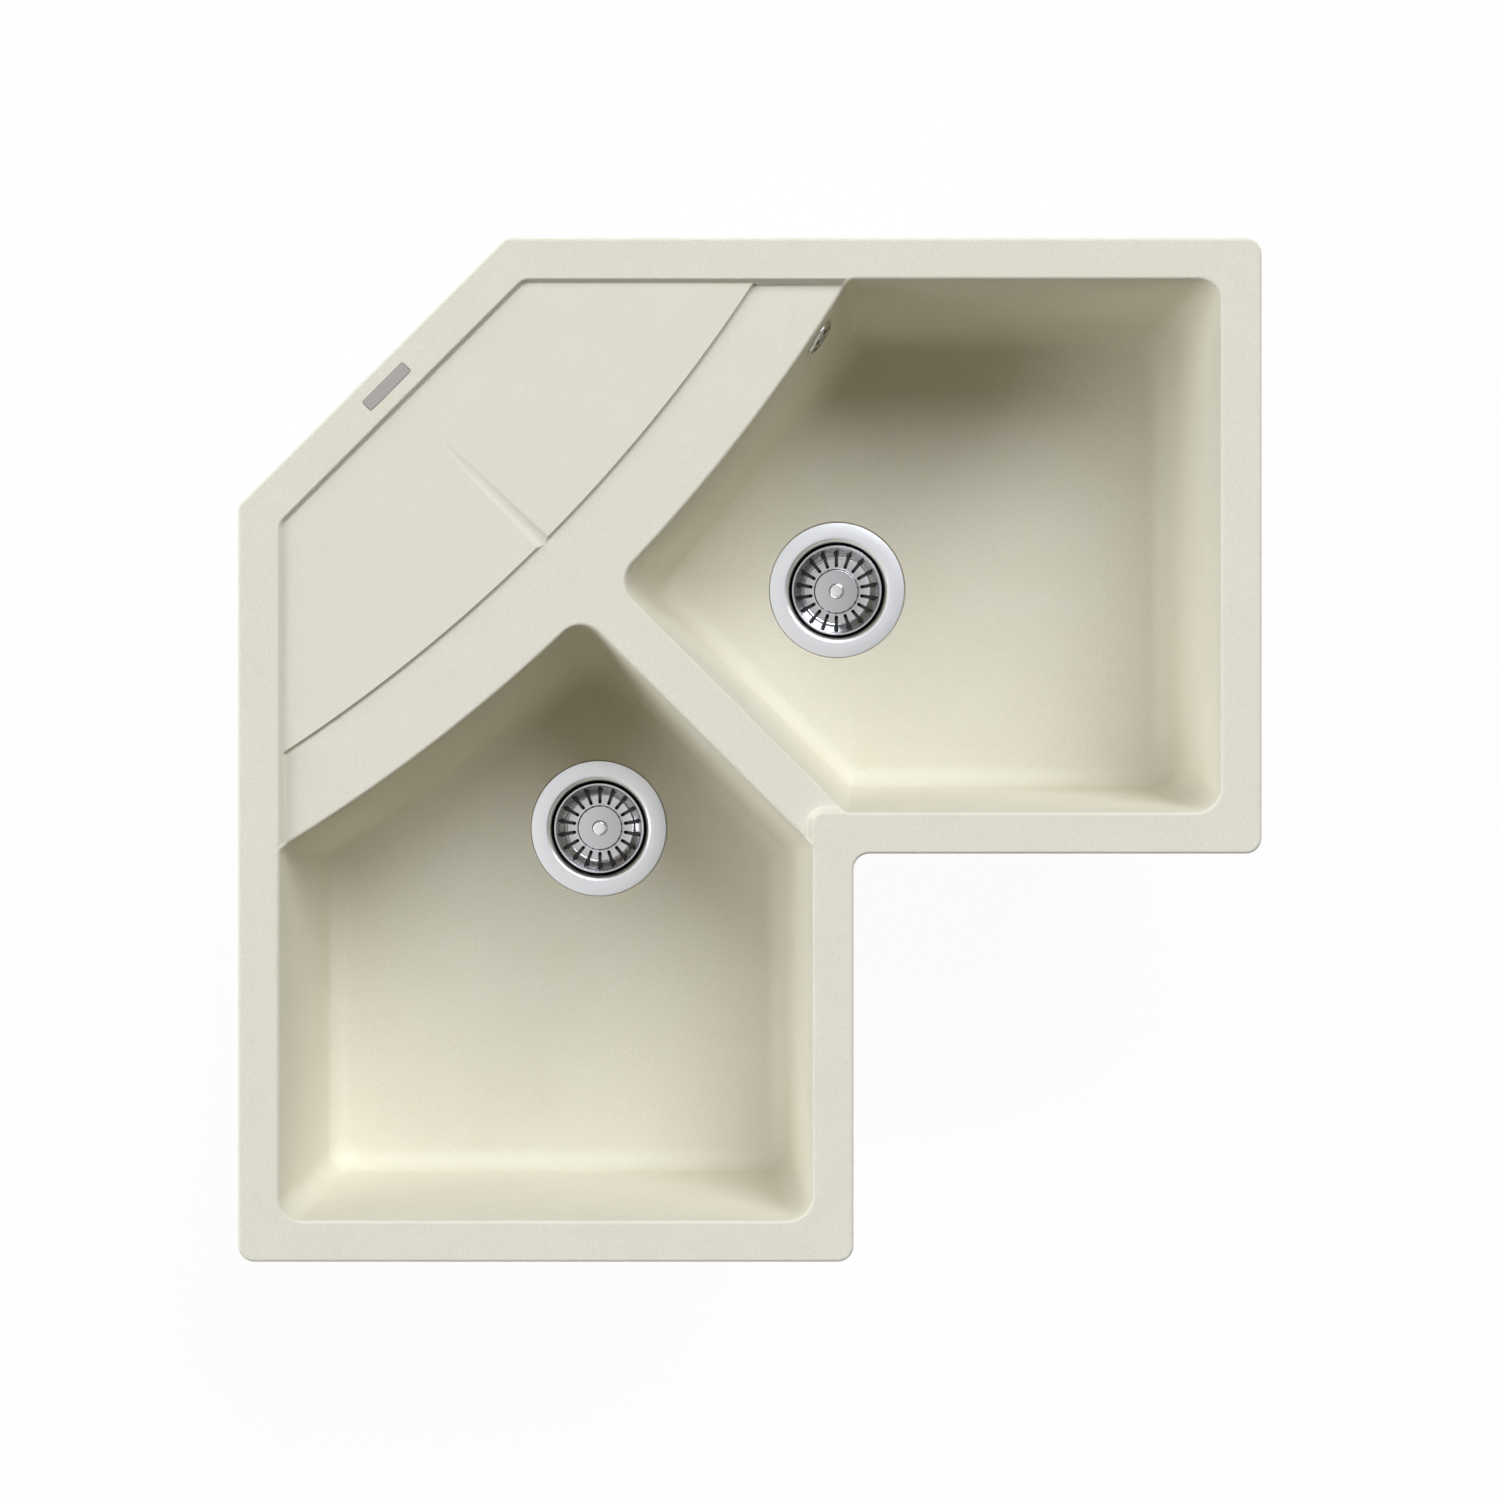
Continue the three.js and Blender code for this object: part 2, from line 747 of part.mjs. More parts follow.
const bossBottom = panUnderside - clipBossDepth;
const screwTop = bossBottom + clipAnchorLength;
const clipHeadTop = screwTop - clipScrewLength;
const stripBottom = clipHeadTop + seatGap;

function clipAnchor() {
  const bore = clipScrewRadius + screwClearance;
  return ring(bore, clipAnchorRadius, bossBottom, bossBottom + clipAnchorLength, smallSides);
}

function clipScrew() {
  return joined(
    rod(clipScrewRadius, clipHeadTop - overlap, screwTop, smallSides),
    hexagon(clipHeadRadius, clipHeadTop - clipHeadHeight, clipHeadTop),
  );
}

// At rest the arm lies along the edge, inside the cut-out, with its tip turned up.
function clipBracket() {
  const half = clipStripWidth / 2;
  const top = stripBottom + clipStripThickness;
  const heel = rod(half, stripBottom, top, bossSides);
  const arm = block(clipStripWidth, clipArmLength, stripBottom, top).translate(0, -clipArmLength / 2, 0);
  const tip = block(clipStripWidth, clipStripThickness, stripBottom, top + clipTipHeight)
    .translate(0, clipStripThickness / 2 - clipArmLength, 0);
  const hole = rod(clipScrewRadius + screwClearance, stripBottom - overlap, top + overlap, smallSides);
  return cut(joined(heel, arm, tip), hole);
}

// ---------------------------------------------------------------- strainer, heights from the bowl's floor

const flangeTop = flangeStand;
const flangeUnder = flangeTop - flangeThickness;
const cupBottom = -cupDepth;
const dimpleBottom = cupBottom - dimpleDepth;
const cupUnderside = dimpleBottom - cupWall;
const floorUnder = -shellThickness;

// Points of a quarter circle about a centre, from one angle to another in degrees.
function quarter(centreRadius, centreHeight, radius, from, to, steps = 1) {
  return Array.from({ length: steps + 1 }, (_, k) => {
    const angle = THREE.MathUtils.degToRad(from + ((to - from) * k) / steps);
    return [centreRadius + radius * Math.cos(angle), centreHeight + radius * Math.sin(angle)];
  });
}

// The pressed steel cup with its flange, and a dimple for the clamp screw's head.
function strainerCup() {
  const screwHole = clampScrewRadius + screwClearance;
  const bend = cupRadius - cupBottomRadius;
  const mouth = cupRadius + cupMouthRadius;
  const section = [
    [screwHole, cupUnderside],
    [dimpleRadius + cupWall, cupUnderside],
    [dimpleRadius + cupWall, cupBottom - cupWall],
    ...quarter(bend, cupBottom + cupBottomRadius, cupBottomRadius + cupWall, -90, 0),
    ...quarter(mouth, flangeUnder - cupMouthRadius + cupWall, cupMouthRadius - cupWall, 180, 90),
    [flangeRadius, flangeUnder],
    [flangeRadius, flangeTop],
    ...quarter(mouth, flangeTop - cupMouthRadius, cupMouthRadius, 90, 180),
    ...quarter(bend, cupBottom + cupBottomRadius, cupBottomRadius, 0, -90),
    [dimpleRadius, cupBottom],
    [dimpleRadius, dimpleBottom],
    [screwHole, dimpleBottom],
  ];
  const hole = rod(drainHoleRadius, cupBottom - cupWall - overlap, cupBottom + overlap, smallSides)
    .translate(drainHoleRing, 0, 0);
  return cut(turned(section), ...around(drainHoleCount, hole));
}

function flangeSeal() {
  const top = flangeUnder - seatGap;
  return ring(floorHoleRadius + 1, flangeRadius - flangeSealOverlap, top - flangeSealThickness, top);
}

// The basket, pressed from thin sheet: a slotted floor and wall round a raised centre.
function basket() {
  const centre = seatGap + stemRadius;
  const floor = -basketDepth;
  const raised = floor + basketCentreRise;
  const rimLow = -basketRimDrop - basketWall;
  const rimInside = basketRadius - basketRimWidth;
  const section = [
    [centre, raised - basketWall],
    [basketCentreRadius - basketBend, raised - basketWall],
    [basketCentreRadius + basketBend - basketWall, floor - basketWall],
    [basketFloorRadius, floor - basketWall],
    [basketFootRadius + basketWall, floor + 2 * basketBend],
    [rimInside + basketWall, rimLow],
    [basketRadius, rimLow],
    [basketRadius, -basketRimDrop],
    [rimInside, -basketRimDrop],
    [basketFootRadius, floor + 2 * basketBend + basketWall],
    [basketFloorRadius, floor],
    [basketCentreRadius + basketBend, floor],
    [basketCentreRadius, raised],
    [centre, raised],
  ];
  const slot = block(basketSlotEnd - basketSlotStart, basketSlotWidth, floor - 2 * overlap, 0)
    .translate((basketSlotEnd + basketSlotStart) / 2, 0, 0)
    .rotateZ(Math.PI / basketSlotCount);
  return cut(turned(section, basketSlotCount), ...around(basketSlotCount, slot));
}

const basketCentreUnder = -basketDepth + basketCentreRise - basketWall;
const plugBottom = cupBottom + seatGap;
const retainerTop = plugBottom - seatGap;
const retainerBottom = retainerTop - retainerThickness;

// The rubber plug under the basket, which covers the cup's drain holes.
function basketPlug() {
  const top = basketCentreUnder - seatGap;
  const hole = stemRadius + seatGap;
  return turned([
    [hole, plugBottom],
    [plugRadius, plugBottom],
    [plugRadius, plugBottom + plugLip],
    [plugHubRadius, plugBottom + plugShoulder],
    [plugHubRadius, top],
    [hole, top],
  ]);
}

// The knob, turned in one with the stem that holds basket and plug together.
function basketKnob() {
  const seat = -basketDepth + basketCentreRise + seatGap;
  const top = seat + knobHeight;
  return turned([
    [0, retainerBottom + seatGap],
    [stemRadius, retainerBottom + seatGap],
    [stemRadius, seat],
    [knobCollarRadius, seat],
    [knobCollarRadius, seat + knobCollarHeight],
    [knobNeckRadius, seat + 2 * knobCollarHeight],
    [knobNeckRadius, top - knobCapHeight],
    [knobRadius, top - knobCapHeight + knobEdge / 2],
    [knobRadius, top - knobEdge / 2],
    [knobRadius - knobEdge, top],
    [0, top],
  ], bossSides);
}

function plugRetainer() {
  return ring(stemRadius + seatGap, retainerRadius, retainerBottom, retainerTop, smallSides);
}

const clampHeadBottom = dimpleBottom + seatGap;

function clampScrew() {
  return turned([
    [0, clampHeadBottom - clampScrewLength],
    [clampScrewRadius, clampHeadBottom - clampScrewLength],
    [clampScrewRadius, clampHeadBottom],
    [clampHeadRadius, clampHeadBottom],
    [clampHeadRadius, clampHeadBottom + clampHeadHeight - clampHeadEdge],
    [clampHeadRadius - clampHeadEdge, clampHeadBottom + clampHeadHeight],
    [0, clampHeadBottom + clampHeadHeight],
  ], smallSides);
}

const spiderTop = cupUnderside - seatGap;

function housingInsert() {
  const top = spiderTop - seatGap;
  return ring(clampScrewRadius + screwClearance, insertRadius, top - insertLength, top, smallSides);
}

function floorSeal() {
  const top = floorUnder - seatGap;
  const inner = floorHoleRadius + 2;
  return ring(inner, inner + floorSealWidth, top - floorSealThickness, top);
}

const housingTop = floorUnder - floorSealThickness - 2 * seatGap;
const coneBottom = -housingDepth - housingConeDepth;
const outletEnd = coneBottom - outletLength;

// The plastic housing under the floor: chamber, threaded outlet and the spider that takes the insert.
function wasteHousing() {
  const outside = turned([
    [0, outletEnd],
    [outletRadius, outletEnd],
    [outletRadius, coneBottom],
    [housingRadius, -housingDepth],
    [housingRadius, housingTop - housingFlangeThickness],
    [housingFlangeRadius, housingTop - housingFlangeThickness],
    [housingFlangeRadius, housingTop],
    [0, housingTop],
  ]);
  const chamber = housingRadius - housingWall;
  const inside = turned([
    [0, outletEnd - overlap],
    [outletBore, outletEnd - overlap],
    [outletBore, coneBottom + housingWall],
    [chamber, housingWall - housingDepth],
    [chamber, housingTop + overlap],
    [0, housingTop + overlap],
  ]);
  const ribTop = spiderTop - spiderDrop;
  const rib = block(housingRadius, spiderRibWidth, ribTop - spiderRibHeight, ribTop)
    .translate(housingRadius / 2, 0, 0);
  const holeBottom = clampHeadBottom - clampScrewLength - seatGap;
  const boss = rod(spiderBossRadius, holeBottom - insertHoleFloor, spiderTop, smallSides);
  const spider = joined(boss, ...around(spiderRibCount, rib));
  const insertHole = rod(insertRadius + seatGap, holeBottom, spiderTop + overlap, smallSides);
  return cut(joined(cut(outside, inside), shared(spider, outside)), insertHole);
}

// The right housing also takes the overflow pipe, from a spigot that points at it.
function wasteHousingWithInlet(inletAngle) {
  const reach = housingRadius + inletReach;
  const alongInlet = (radius, from) => rod(radius, from, reach, bossSides)
    .rotateY(Math.PI / 2)
    .rotateZ(inletAngle)
    .translate(0, 0, -inletDrop);
  const spigot = alongInlet(spigotRadius, housingRadius - housingWall / 2);
  const bore = alongInlet(spigotBore, housingRadius - 2 * housingWall);
  bore.applyMatrix4(new THREE.Matrix4().makeTranslation(Math.cos(inletAngle), Math.sin(inletAngle), 0));
  return cut(joined(wasteHousing(), spigot), bore);
}

// ---------------------------------------------------------------- overflow

// Outwards from the wall's inner face: +Z of the overflow's frame.
function overflowCover() {
  const top = seatGap + overflowCoverThickness;
  const dome = turned([
    [0, seatGap],
    [overflowCoverRadius, seatGap],
    [overflowCoverRadius, seatGap + overflowCoverEdge],
    [overflowCoverRadius - overflowCoverBevel, top],
    [0, top],
  ]);
  const hole = rod(overflowCoverHoleRadius, -overlap, top + overlap, smallSides)
    .translate(overflowCoverHoleRing, 0, 0);
  const screwHole = rod(overflowScrewRadius + screwClearance, -overlap, top + overlap, smallSides);
  const seatRadius = overflowScrewHeadRadius + seatGap;
  const headSeat = rod(seatRadius, top - overflowScrewHeadHeight, top + overlap, smallSides);
  return cut(dome, screwHole, headSeat, ...around(overflowCoverHoles, hole));
}

function overflowScrew() {
  const headTop = seatGap + overflowCoverThickness + seatGap;
  const headBottom = headTop - overflowScrewHeadHeight;
  return joined(
    rod(overflowScrewHeadRadius, headBottom, headTop, smallSides),
    rod(overflowScrewRadius, chamberMiddle, headBottom + overlap, smallSides),
  );
}

function overflowGasket() {
  const top = overflowSeat - seatGap;
  return ring(overflowBore + 1, overflowBore + 1 + gasketWidth, top - gasketThickness, top);
}

const elbowEnd = overflowHeight - elbowDrop;

// The rear elbow: a round chamber behind the wall with a spigot down, in the sink's own frame.
function overflowElbow() {
  const back = elbowFront - elbowDepth;
  const place = (geometry) => geometry.applyMatrix4(overflowFrame);
  const downward = (radius, low) =>
    rod(radius, low, chamberSpot.z, bossSides).translate(chamberSpot.x, chamberSpot.y, 0);
  const outside = joined(
    place(rod(overflowBossRadius, elbowFront - elbowFlangeThickness, elbowFront)),
    place(rod(elbowRadius, back - elbowWall, elbowFront)),
    downward(spigotRadius, elbowEnd),
  );
  const hollowed = cut(
    outside,
    place(rod(elbowRadius - elbowWall, back, elbowFront + overlap)),
    downward(spigotBore, elbowEnd - overlap),
  );
  return cut(
    joined(hollowed, place(rod(overflowScrewBossRadius, back - overlap, elbowFront, smallSides))),
    place(rod(overflowScrewRadius + screwClearance, back, elbowFront + overlap, smallSides)),
  );
}

const rightWaste = wastePlace(rightBowl);
const inletLine = new THREE.Vector2(chamberSpot.x - rightWaste.x, chamberSpot.y - rightWaste.y);
const inletAngle = inletLine.angle();
const inletHeight = floorLevel - inletDrop;

// A point in the upright plane through the waste and the elbow's spigot.
function onPipePlane(fromWaste, height) {
  const spot = inletLine.clone().setLength(fromWaste);
  return new THREE.Vector3(rightWaste.x + spot.x, rightWaste.y + spot.y, height);
}

// The pipe from the elbow down behind the bowl, round one bend and in under the floor.
function overflowPipe() {
  const out = inletLine.length();
  const inletEnd = housingRadius + inletReach + seatGap;
  const route = new THREE.CurvePath();
  const bendStart = onPipePlane(out, inletHeight + pipeBend);
  const bendEnd = onPipePlane(out - pipeBend, inletHeight);
  route.add(new THREE.LineCurve3(onPipePlane(out, elbowEnd - seatGap), bendStart));
  route.add(new THREE.QuadraticBezierCurve3(bendStart, onPipePlane(out, inletHeight), bendEnd));
  route.add(new THREE.LineCurve3(bendEnd, onPipePlane(inletEnd, inletHeight)));
  const wall = new THREE.Shape().absarc(0, 0, pipeRadius, 0, 2 * Math.PI);
  wall.holes.push(new THREE.Path().absarc(0, 0, pipeRadius - pipeWall, 0, 2 * Math.PI, true));
  const curveSegments = pipeSides / 2;
  return new THREE.ExtrudeGeometry(wall, { extrudePath: route, steps: pipeSteps, curveSegments });
}

// A union nut over a spigot's end and the pipe's end, with its lip round the pipe at the top.
function unionNut() {
  const clear = spigotRadius + seatGap;
  const lip = pipeRadius + seatGap;
  const shell = turned([
    [0, -nutLength + nutLip],
    [nutRadius, -nutLength + nutLip],
    [nutRadius, nutLip],
    [0, nutLip],
  ], 8);
  const inside = turned([
    [0, -nutLength],
    [clear, -nutLength],
    [clear, 0],
    [lip, 0],
    [lip, nutLip + overlap],
    [0, nutLip + overlap],
  ]);
  return cut(shell, inside);
}

// ---------------------------------------------------------------- materials

function material(name, color, roughness, metalness) {
  return new THREE.MeshStandardMaterial({ name, color, roughness, metalness });
}

const composite = material('cream_composite', 0xe3e1d5, 0.62, 0);
const badgeMetal = material('badge_metal', 0xa09c9a, 0.45, 0.6);
const sealRubber = material('seal_rubber', 0x2b2b2b, 0.9, 0);
const greyRubber = material('plug_rubber', 0x3a3a3c, 0.85, 0);
const flangeSteel = material('flange_steel', 0xc8c8ca, 0.32, 1);
const basketSteel = material('basket_steel', 0xb9b9bb, 0.25, 1);
const knobChrome = material('knob_chrome', 0xdcdcde, 0.12, 1);
const coverChrome = material('cover_chrome', 0xd8d8da, 0.12, 1);
const clipSteel = material('clip_steel', 0xaeb0b2, 0.45, 1);
const screwSteel = material('screw_steel', 0xb8b9ba, 0.35, 1);
const brass = material('brass', 0xb8954a, 0.4, 1);
const wastePlastic = material('waste_plastic', 0xdedede, 0.55, 0);
const nutPlastic = material('nut_plastic', 0x4a4c4e, 0.6, 0);

// ---------------------------------------------------------------- assembly

function piece(name, geometry, surface) {
  const closed = geometryOf(solid(geometry));
  closed.computeVertexNormals();
  const mesh = new THREE.Mesh(closed, surface);
  mesh.name = name;
  return mesh;
}

function strainer(side, bowl, housing) {
  const group = new THREE.Group();
  group.position.copy(wastePlace(bowl));
  group.add(
    piece(`${side}_strainer_cup`, strainerCup(), flangeSteel),
    piece(`${side}_flange_seal`, flangeSeal(), sealRubber),
    piece(`${side}_floor_seal`, floorSeal(), sealRubber),
    piece(`${side}_waste_housing`, housing, wastePlastic),
    piece(`${side}_clamp_screw`, clampScrew(), screwSteel),
    piece(`${side}_housing_insert`, housingInsert(), brass),
    piece(`${side}_basket`, basket(), basketSteel),
    piece(`${side}_basket_plug`, basketPlug(), greyRubber),
    piece(`${side}_basket_knob`, basketKnob(), knobChrome),
    piece(`${side}_plug_retainer`, plugRetainer(), knobChrome),
  );
  return group;
}

function clip(place) {
  const { spot, angle } = clipPlace(place);
  const group = new THREE.Group();
  group.position.set(spot.x, spot.y, 0);
  group.rotation.z = angle;
  group.add(
    piece(`clip_anchor_${place.name}`, clipAnchor(), brass),
    piece(`clip_bracket_${place.name}`, clipBracket(), clipSteel),
    piece(`clip_screw_${place.name}`, clipScrew(), screwSteel),
  );
  return group;
}

function overflow() {
  const onWall = new THREE.Group();
  onWall.applyMatrix4(overflowFrame);
  onWall.add(
    piece('overflow_cover', overflowCover(), coverChrome),
    piece('overflow_screw', overflowScrew(), screwSteel),
    piece('overflow_gasket', overflowGasket(), sealRubber),
  );
  const upperNut = piece('overflow_upper_nut', unionNut(), nutPlastic);
  upperNut.rotation.x = Math.PI;
  upperNut.position.set(chamberSpot.x, chamberSpot.y, elbowEnd);
  const lowerNut = piece('overflow_lower_nut', unionNut(), nutPlastic);
  lowerNut.rotation.set(0, Math.PI / 2, inletAngle, 'ZYX');
  lowerNut.position.copy(onPipePlane(housingRadius + inletReach, inletHeight));
  const group = new THREE.Group();
  group.add(
    onWall,
    piece('overflow_elbow', overflowElbow(), wastePlastic),
    piece('overflow_pipe', overflowPipe(), wastePlastic),
    upperNut,
    lowerNut,
  );
  return group;
}

const group = new THREE.Group();
group.name = 'corner_kitchen_sink';
group.add(
  piece('sink_body', sinkBody(), composite),
  piece('rim_seal', rimSeal(), sealRubber),
  piece('badge_plate', badgePlate(), badgeMetal),
  strainer('right', rightBowl, wasteHousingWithInlet(inletAngle)),
  strainer('left', leftBowl, wasteHousing()),
  overflow(),
  ...clipPlaces.map(clip),
);

export default group;
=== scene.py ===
"""The corner kitchen sink, dressed: a cream composite moulding with two bowls and a drainer, steel basket
strainers, a chrome overflow cover, and everything that hangs under it. Lengths are in millimetres until a
mesh is made; the meshes are in metres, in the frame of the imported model."""
import bpy
import bmesh
import numpy as np
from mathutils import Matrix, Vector
from mathutils.geometry import delaunay_2d_cdt

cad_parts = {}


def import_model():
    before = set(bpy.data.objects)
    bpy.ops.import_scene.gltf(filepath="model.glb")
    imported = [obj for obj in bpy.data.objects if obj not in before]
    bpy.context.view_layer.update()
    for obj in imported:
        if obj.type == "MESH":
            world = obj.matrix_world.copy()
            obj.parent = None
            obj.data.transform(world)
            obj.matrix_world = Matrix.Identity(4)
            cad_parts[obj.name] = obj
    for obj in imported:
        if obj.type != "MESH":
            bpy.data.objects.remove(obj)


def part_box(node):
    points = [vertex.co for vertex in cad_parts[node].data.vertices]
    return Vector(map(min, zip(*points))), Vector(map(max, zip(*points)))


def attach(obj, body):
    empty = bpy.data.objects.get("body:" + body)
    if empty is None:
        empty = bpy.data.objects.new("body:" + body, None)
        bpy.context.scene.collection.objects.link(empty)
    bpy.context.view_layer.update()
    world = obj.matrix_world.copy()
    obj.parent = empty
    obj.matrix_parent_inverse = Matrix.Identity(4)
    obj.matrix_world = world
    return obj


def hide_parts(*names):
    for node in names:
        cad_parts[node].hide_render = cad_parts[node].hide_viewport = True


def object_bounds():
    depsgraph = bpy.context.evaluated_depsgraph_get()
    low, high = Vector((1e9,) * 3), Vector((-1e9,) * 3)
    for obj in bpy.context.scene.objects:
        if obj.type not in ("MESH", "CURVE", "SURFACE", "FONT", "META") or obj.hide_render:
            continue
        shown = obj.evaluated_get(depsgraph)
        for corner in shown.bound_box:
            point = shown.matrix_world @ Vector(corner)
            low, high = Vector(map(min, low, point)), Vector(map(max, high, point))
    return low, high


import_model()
cad_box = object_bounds()

MM = 0.001
TURN = 2 * np.pi
ROOT2 = 2 ** 0.5


# ---------------------------------------------------------------- sizes that the frame gives

def node_box(name):
    """Lowest and highest corner of a CAD node, in millimetres."""
    low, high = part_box(name)
    return np.array(low) / MM, np.array(high) / MM


def node_middle(name):
    low, high = node_box(name)
    return (low + high) / 2


body_low, body_high = node_box("sink_body")
half_width = body_high[0]
rim_height = body_high[2]
floor_under = body_low[2]

# ---------------------------------------------------------------- sizes of the moulding

bevel_leg = 217.0
notch_side = 331.0
outer_corner = 13.0
bevel_corner = 8.0
notch_corner = 13.0
rim_width = 33.5
rim_edge = 2.2
rim_chamfer = 0.8
rim_underside = 1.5
inner_corner = 12.0
front_corner = 9.0
drainer_drop = 4.0
band_drop = 7.0
drainer_step = 4.0
band_step = 6.0
step_lead = 1.2  # how far a step begins before its line
drainer_length = 161.8
crease_radius = 1317.0
crease_corner = 8.0
crease_lip = 0.5  # how far the crest lies inside the crease's arc
band_width = 64.0
bridge_width = 39.0
bowl_depth = 190.0
floor_fall = 5.0
wall_lean = 18.0
floor_fillet = 20.0
bowl_edge = 2.5
bowl_back_corner = 18.0
bowl_front_corner = 21.0
crotch_corner = 21.0
arc_corner = 10.0
bridge_corner = 6.0
smallest_corner = 0.4
shell = 9.0
groove_length = 122.0
groove_radius = 8.2
groove_soft = 0.4  # how much the groove's edges are blunted
skirt_inset = 14.0
skirt_width = 12.0
skirt_depth = 11.0
rib_width = 6.0
rib_spacing = 110.0
rib_depth = 13.0
overlap = 1.0  # how far skirt, ribs and bosses reach into what they stand on
badge_recess = 0.5
badge_gap = 0.3
recess_clearance = 0.5
recess_chamfer = 0.5
recess_margin = 1.8
recess_depth = 2.0
hole_radius = 45.0
flange_stand = 0.6

bevel_line = (2 * half_width - bevel_leg) / ROOT2
notch_line = half_width - notch_side
inner_line = half_width - rim_width
bevel_inner = bevel_line - rim_width
notch_inner = notch_line - rim_width
band_level = rim_height - band_drop
groove_depth = band_drop - drainer_drop
pan_under = band_level - shell
foot_level = rim_height - bowl_depth
floor_level = foot_level - floor_fall
crease_apex = bevel_inner - drainer_length
bowl_apex = crease_apex - band_width
arc_distance = crease_apex + crease_radius
bowl_arc = arc_distance - bowl_apex


# ---------------------------------------------------------------- sizes of the pieces under and in it

seat_gap = 0.3
rim_seal_inset = 3.0
rim_seal_width = 6.0
rim_seal_thickness = 1.2
badge_length = 45.8
badge_width = 10.0
badge_corner = 1.5

clip_boss_radius = 8.0
clip_boss_depth = 17.0
clip_anchor_radius = 4.2
clip_anchor_length = 14.5
clip_screw_radius = 2.5
clip_screw_length = 34.0
clip_head_radius = 5.0
clip_head_height = 3.5
clip_strip_width = 12.0
clip_strip_thickness = 2.0
clip_bend_radius = 3.0
clip_arm_length = 32.0
clip_tip_height = 8.0

cup_radius = 41.0
cup_mouth_radius = 5.0
cup_wall = 1.0
cup_depth = 30.0
cup_bottom_radius = 6.0
flange_crown = 0.5
flange_fall = 0.4
dimple_radius = 8.6
dimple_depth = 6.0
drain_holes = 6
drain_hole_radius = 4.3
drain_ring = 14.8

basket_radius = 39.0
basket_rim_drop = 3.6
basket_depth = 23.0
basket_foot_radius = 31.0
basket_wall = 0.8
basket_centre_radius = 18.6
basket_centre_rise = 2.0
basket_slots = 18
basket_slot_width = 3.0
basket_slot_start = 21.0
basket_slot_end = 34.6
basket_turn = 10.0
plug_radius = 24.0
plug_hub = 17.0
plug_lip = 2.2
plug_shoulder = 3.7
retainer_radius = 5.5
retainer_thickness = 2.0
stem_radius = 2.2
knob_radius = 6.6
knob_height = 10.0
knob_collar = 5.0
knob_neck = 3.5

clamp_screw_radius = 3.0
clamp_screw_length = 14.5
clamp_head_radius = 6.0
clamp_head_height = 3.3
insert_radius = 5.0
insert_length = 12.0
insert_hole_floor = 2.0
floor_seal_thickness = 2.0
floor_seal_width = 10.0
floor_seal_gap = 2.0  # from the waste hole
flange_seal_gap = 1.0
flange_seal_thickness = 1.0
flange_seal_inset = 2.4
housing_gap = 4.0
housing_wall = 3.0
housing_flange_width = 9.0
housing_flange_thickness = 4.0
housing_depth = 45.0
housing_cone = 13.0
outlet_radius = 23.9
outlet_bore = 19.5
outlet_length = 26.0
outlet_pitch = 2.309
outlet_thread = 1.2
spider_boss_radius = 8.5
spider_rib_depth = 9.0
spider_rib_width = 4.0

overflow_drop = 38.0
overflow_along = 281.3
cover_radius = 16.5
cover_rise = 3.0
cover_hole_radius = 2.3
cover_hole_ring = 10.5
cover_screw_radius = 2.0
cover_head_radius = 4.0
cover_post_radius = 4.5
overflow_bore = 12.0
overflow_boss_radius = 20.0
overflow_boss_stand = 2.0
overflow_boss_front = -2.5  # inside the thickness of the bowl's wall
gasket_thickness = 2.0
gasket_inset = 1.0
gasket_width = 6.0
elbow_depth = 22.0
elbow_radius = 15.0
elbow_wall = 3.0
elbow_drop = 34.0
spigot_radius = 11.0
spigot_bore = 8.0
spigot_pitch = 2.0
spigot_thread = 0.8
spigot_chamfer = 0.5
elbow_thread_length = 14.0
inlet_thread_length = 13.0
inlet_reach = 17.0
inlet_drop = 31.0
pipe_radius = 9.5
pipe_wall = 1.5
pipe_bend = 45.0
nut_radius = 14.5
nut_length = 14.0
nut_lip = 3.0
nut_grips = 10
nut_grip_depth = 0.075

flange_radius = (node_box("right_strainer_cup")[1][0] - node_box("right_strainer_cup")[0][0]) / 2
wastes = {side: node_middle(f"{side}_strainer_cup") for side in ("right", "left")}
boss_bottom = pan_under - clip_boss_depth
clip_screw_top = node_box("clip_screw_back")[1][2]
clip_head_top = clip_screw_top - clip_screw_length
clip_strip_bottom = node_box("clip_bracket_back")[0][2]
plug_bottom = -cup_depth + seat_gap
basket_under = -basket_depth + basket_centre_rise - basket_wall - seat_gap
spider_top = -cup_depth - dimple_depth - cup_wall - seat_gap
housing_radius = cup_radius + cup_wall + housing_gap + housing_wall
housing_flange_radius = housing_radius + housing_flange_width


# ---------------------------------------------------------------- flat points

def diagonal(along, across):
    """Points from their distances along the diagonal towards the bevel, and across it to the right."""
    return np.stack([(across - along) / ROOT2, (across + along) / ROOT2], -1)


def diagonal_frame(points):
    """How far points lie across the diagonal, and along it."""
    x, y = points[:, 0], points[:, 1]
    return (y + x) / ROOT2, (y - x) / ROOT2


def raised(flat, height):
    """Flat points lifted to a height: one for all of them, or one for each."""
    return np.column_stack([flat, np.broadcast_to(height, len(flat))])


def around(count):
    """Angles evenly round a circle."""
    return TURN * np.arange(count) / count


def smooth(t):
    """Zero to one with level ends."""
    t = np.clip(t, 0, 1)
    return t * t * (3 - 2 * t)


arc_centre = diagonal(arc_distance, 0)


# ---------------------------------------------------------------- outlines

def line(degrees, distance):
    """A straight edge at a distance from the origin, square to its outward angle."""
    angle = np.radians(degrees)
    return ("line", np.array([np.cos(angle), np.sin(angle)]), distance)


def arc(centre, radius):
    """A curved edge: a circle, with the outline outside it."""
    return ("arc", centre, radius)


def moved(edge, inset):
    """The edge moved into the outline."""
    kind, place, size = edge
    return (kind, place, size + inset if kind == "arc" else size - inset)


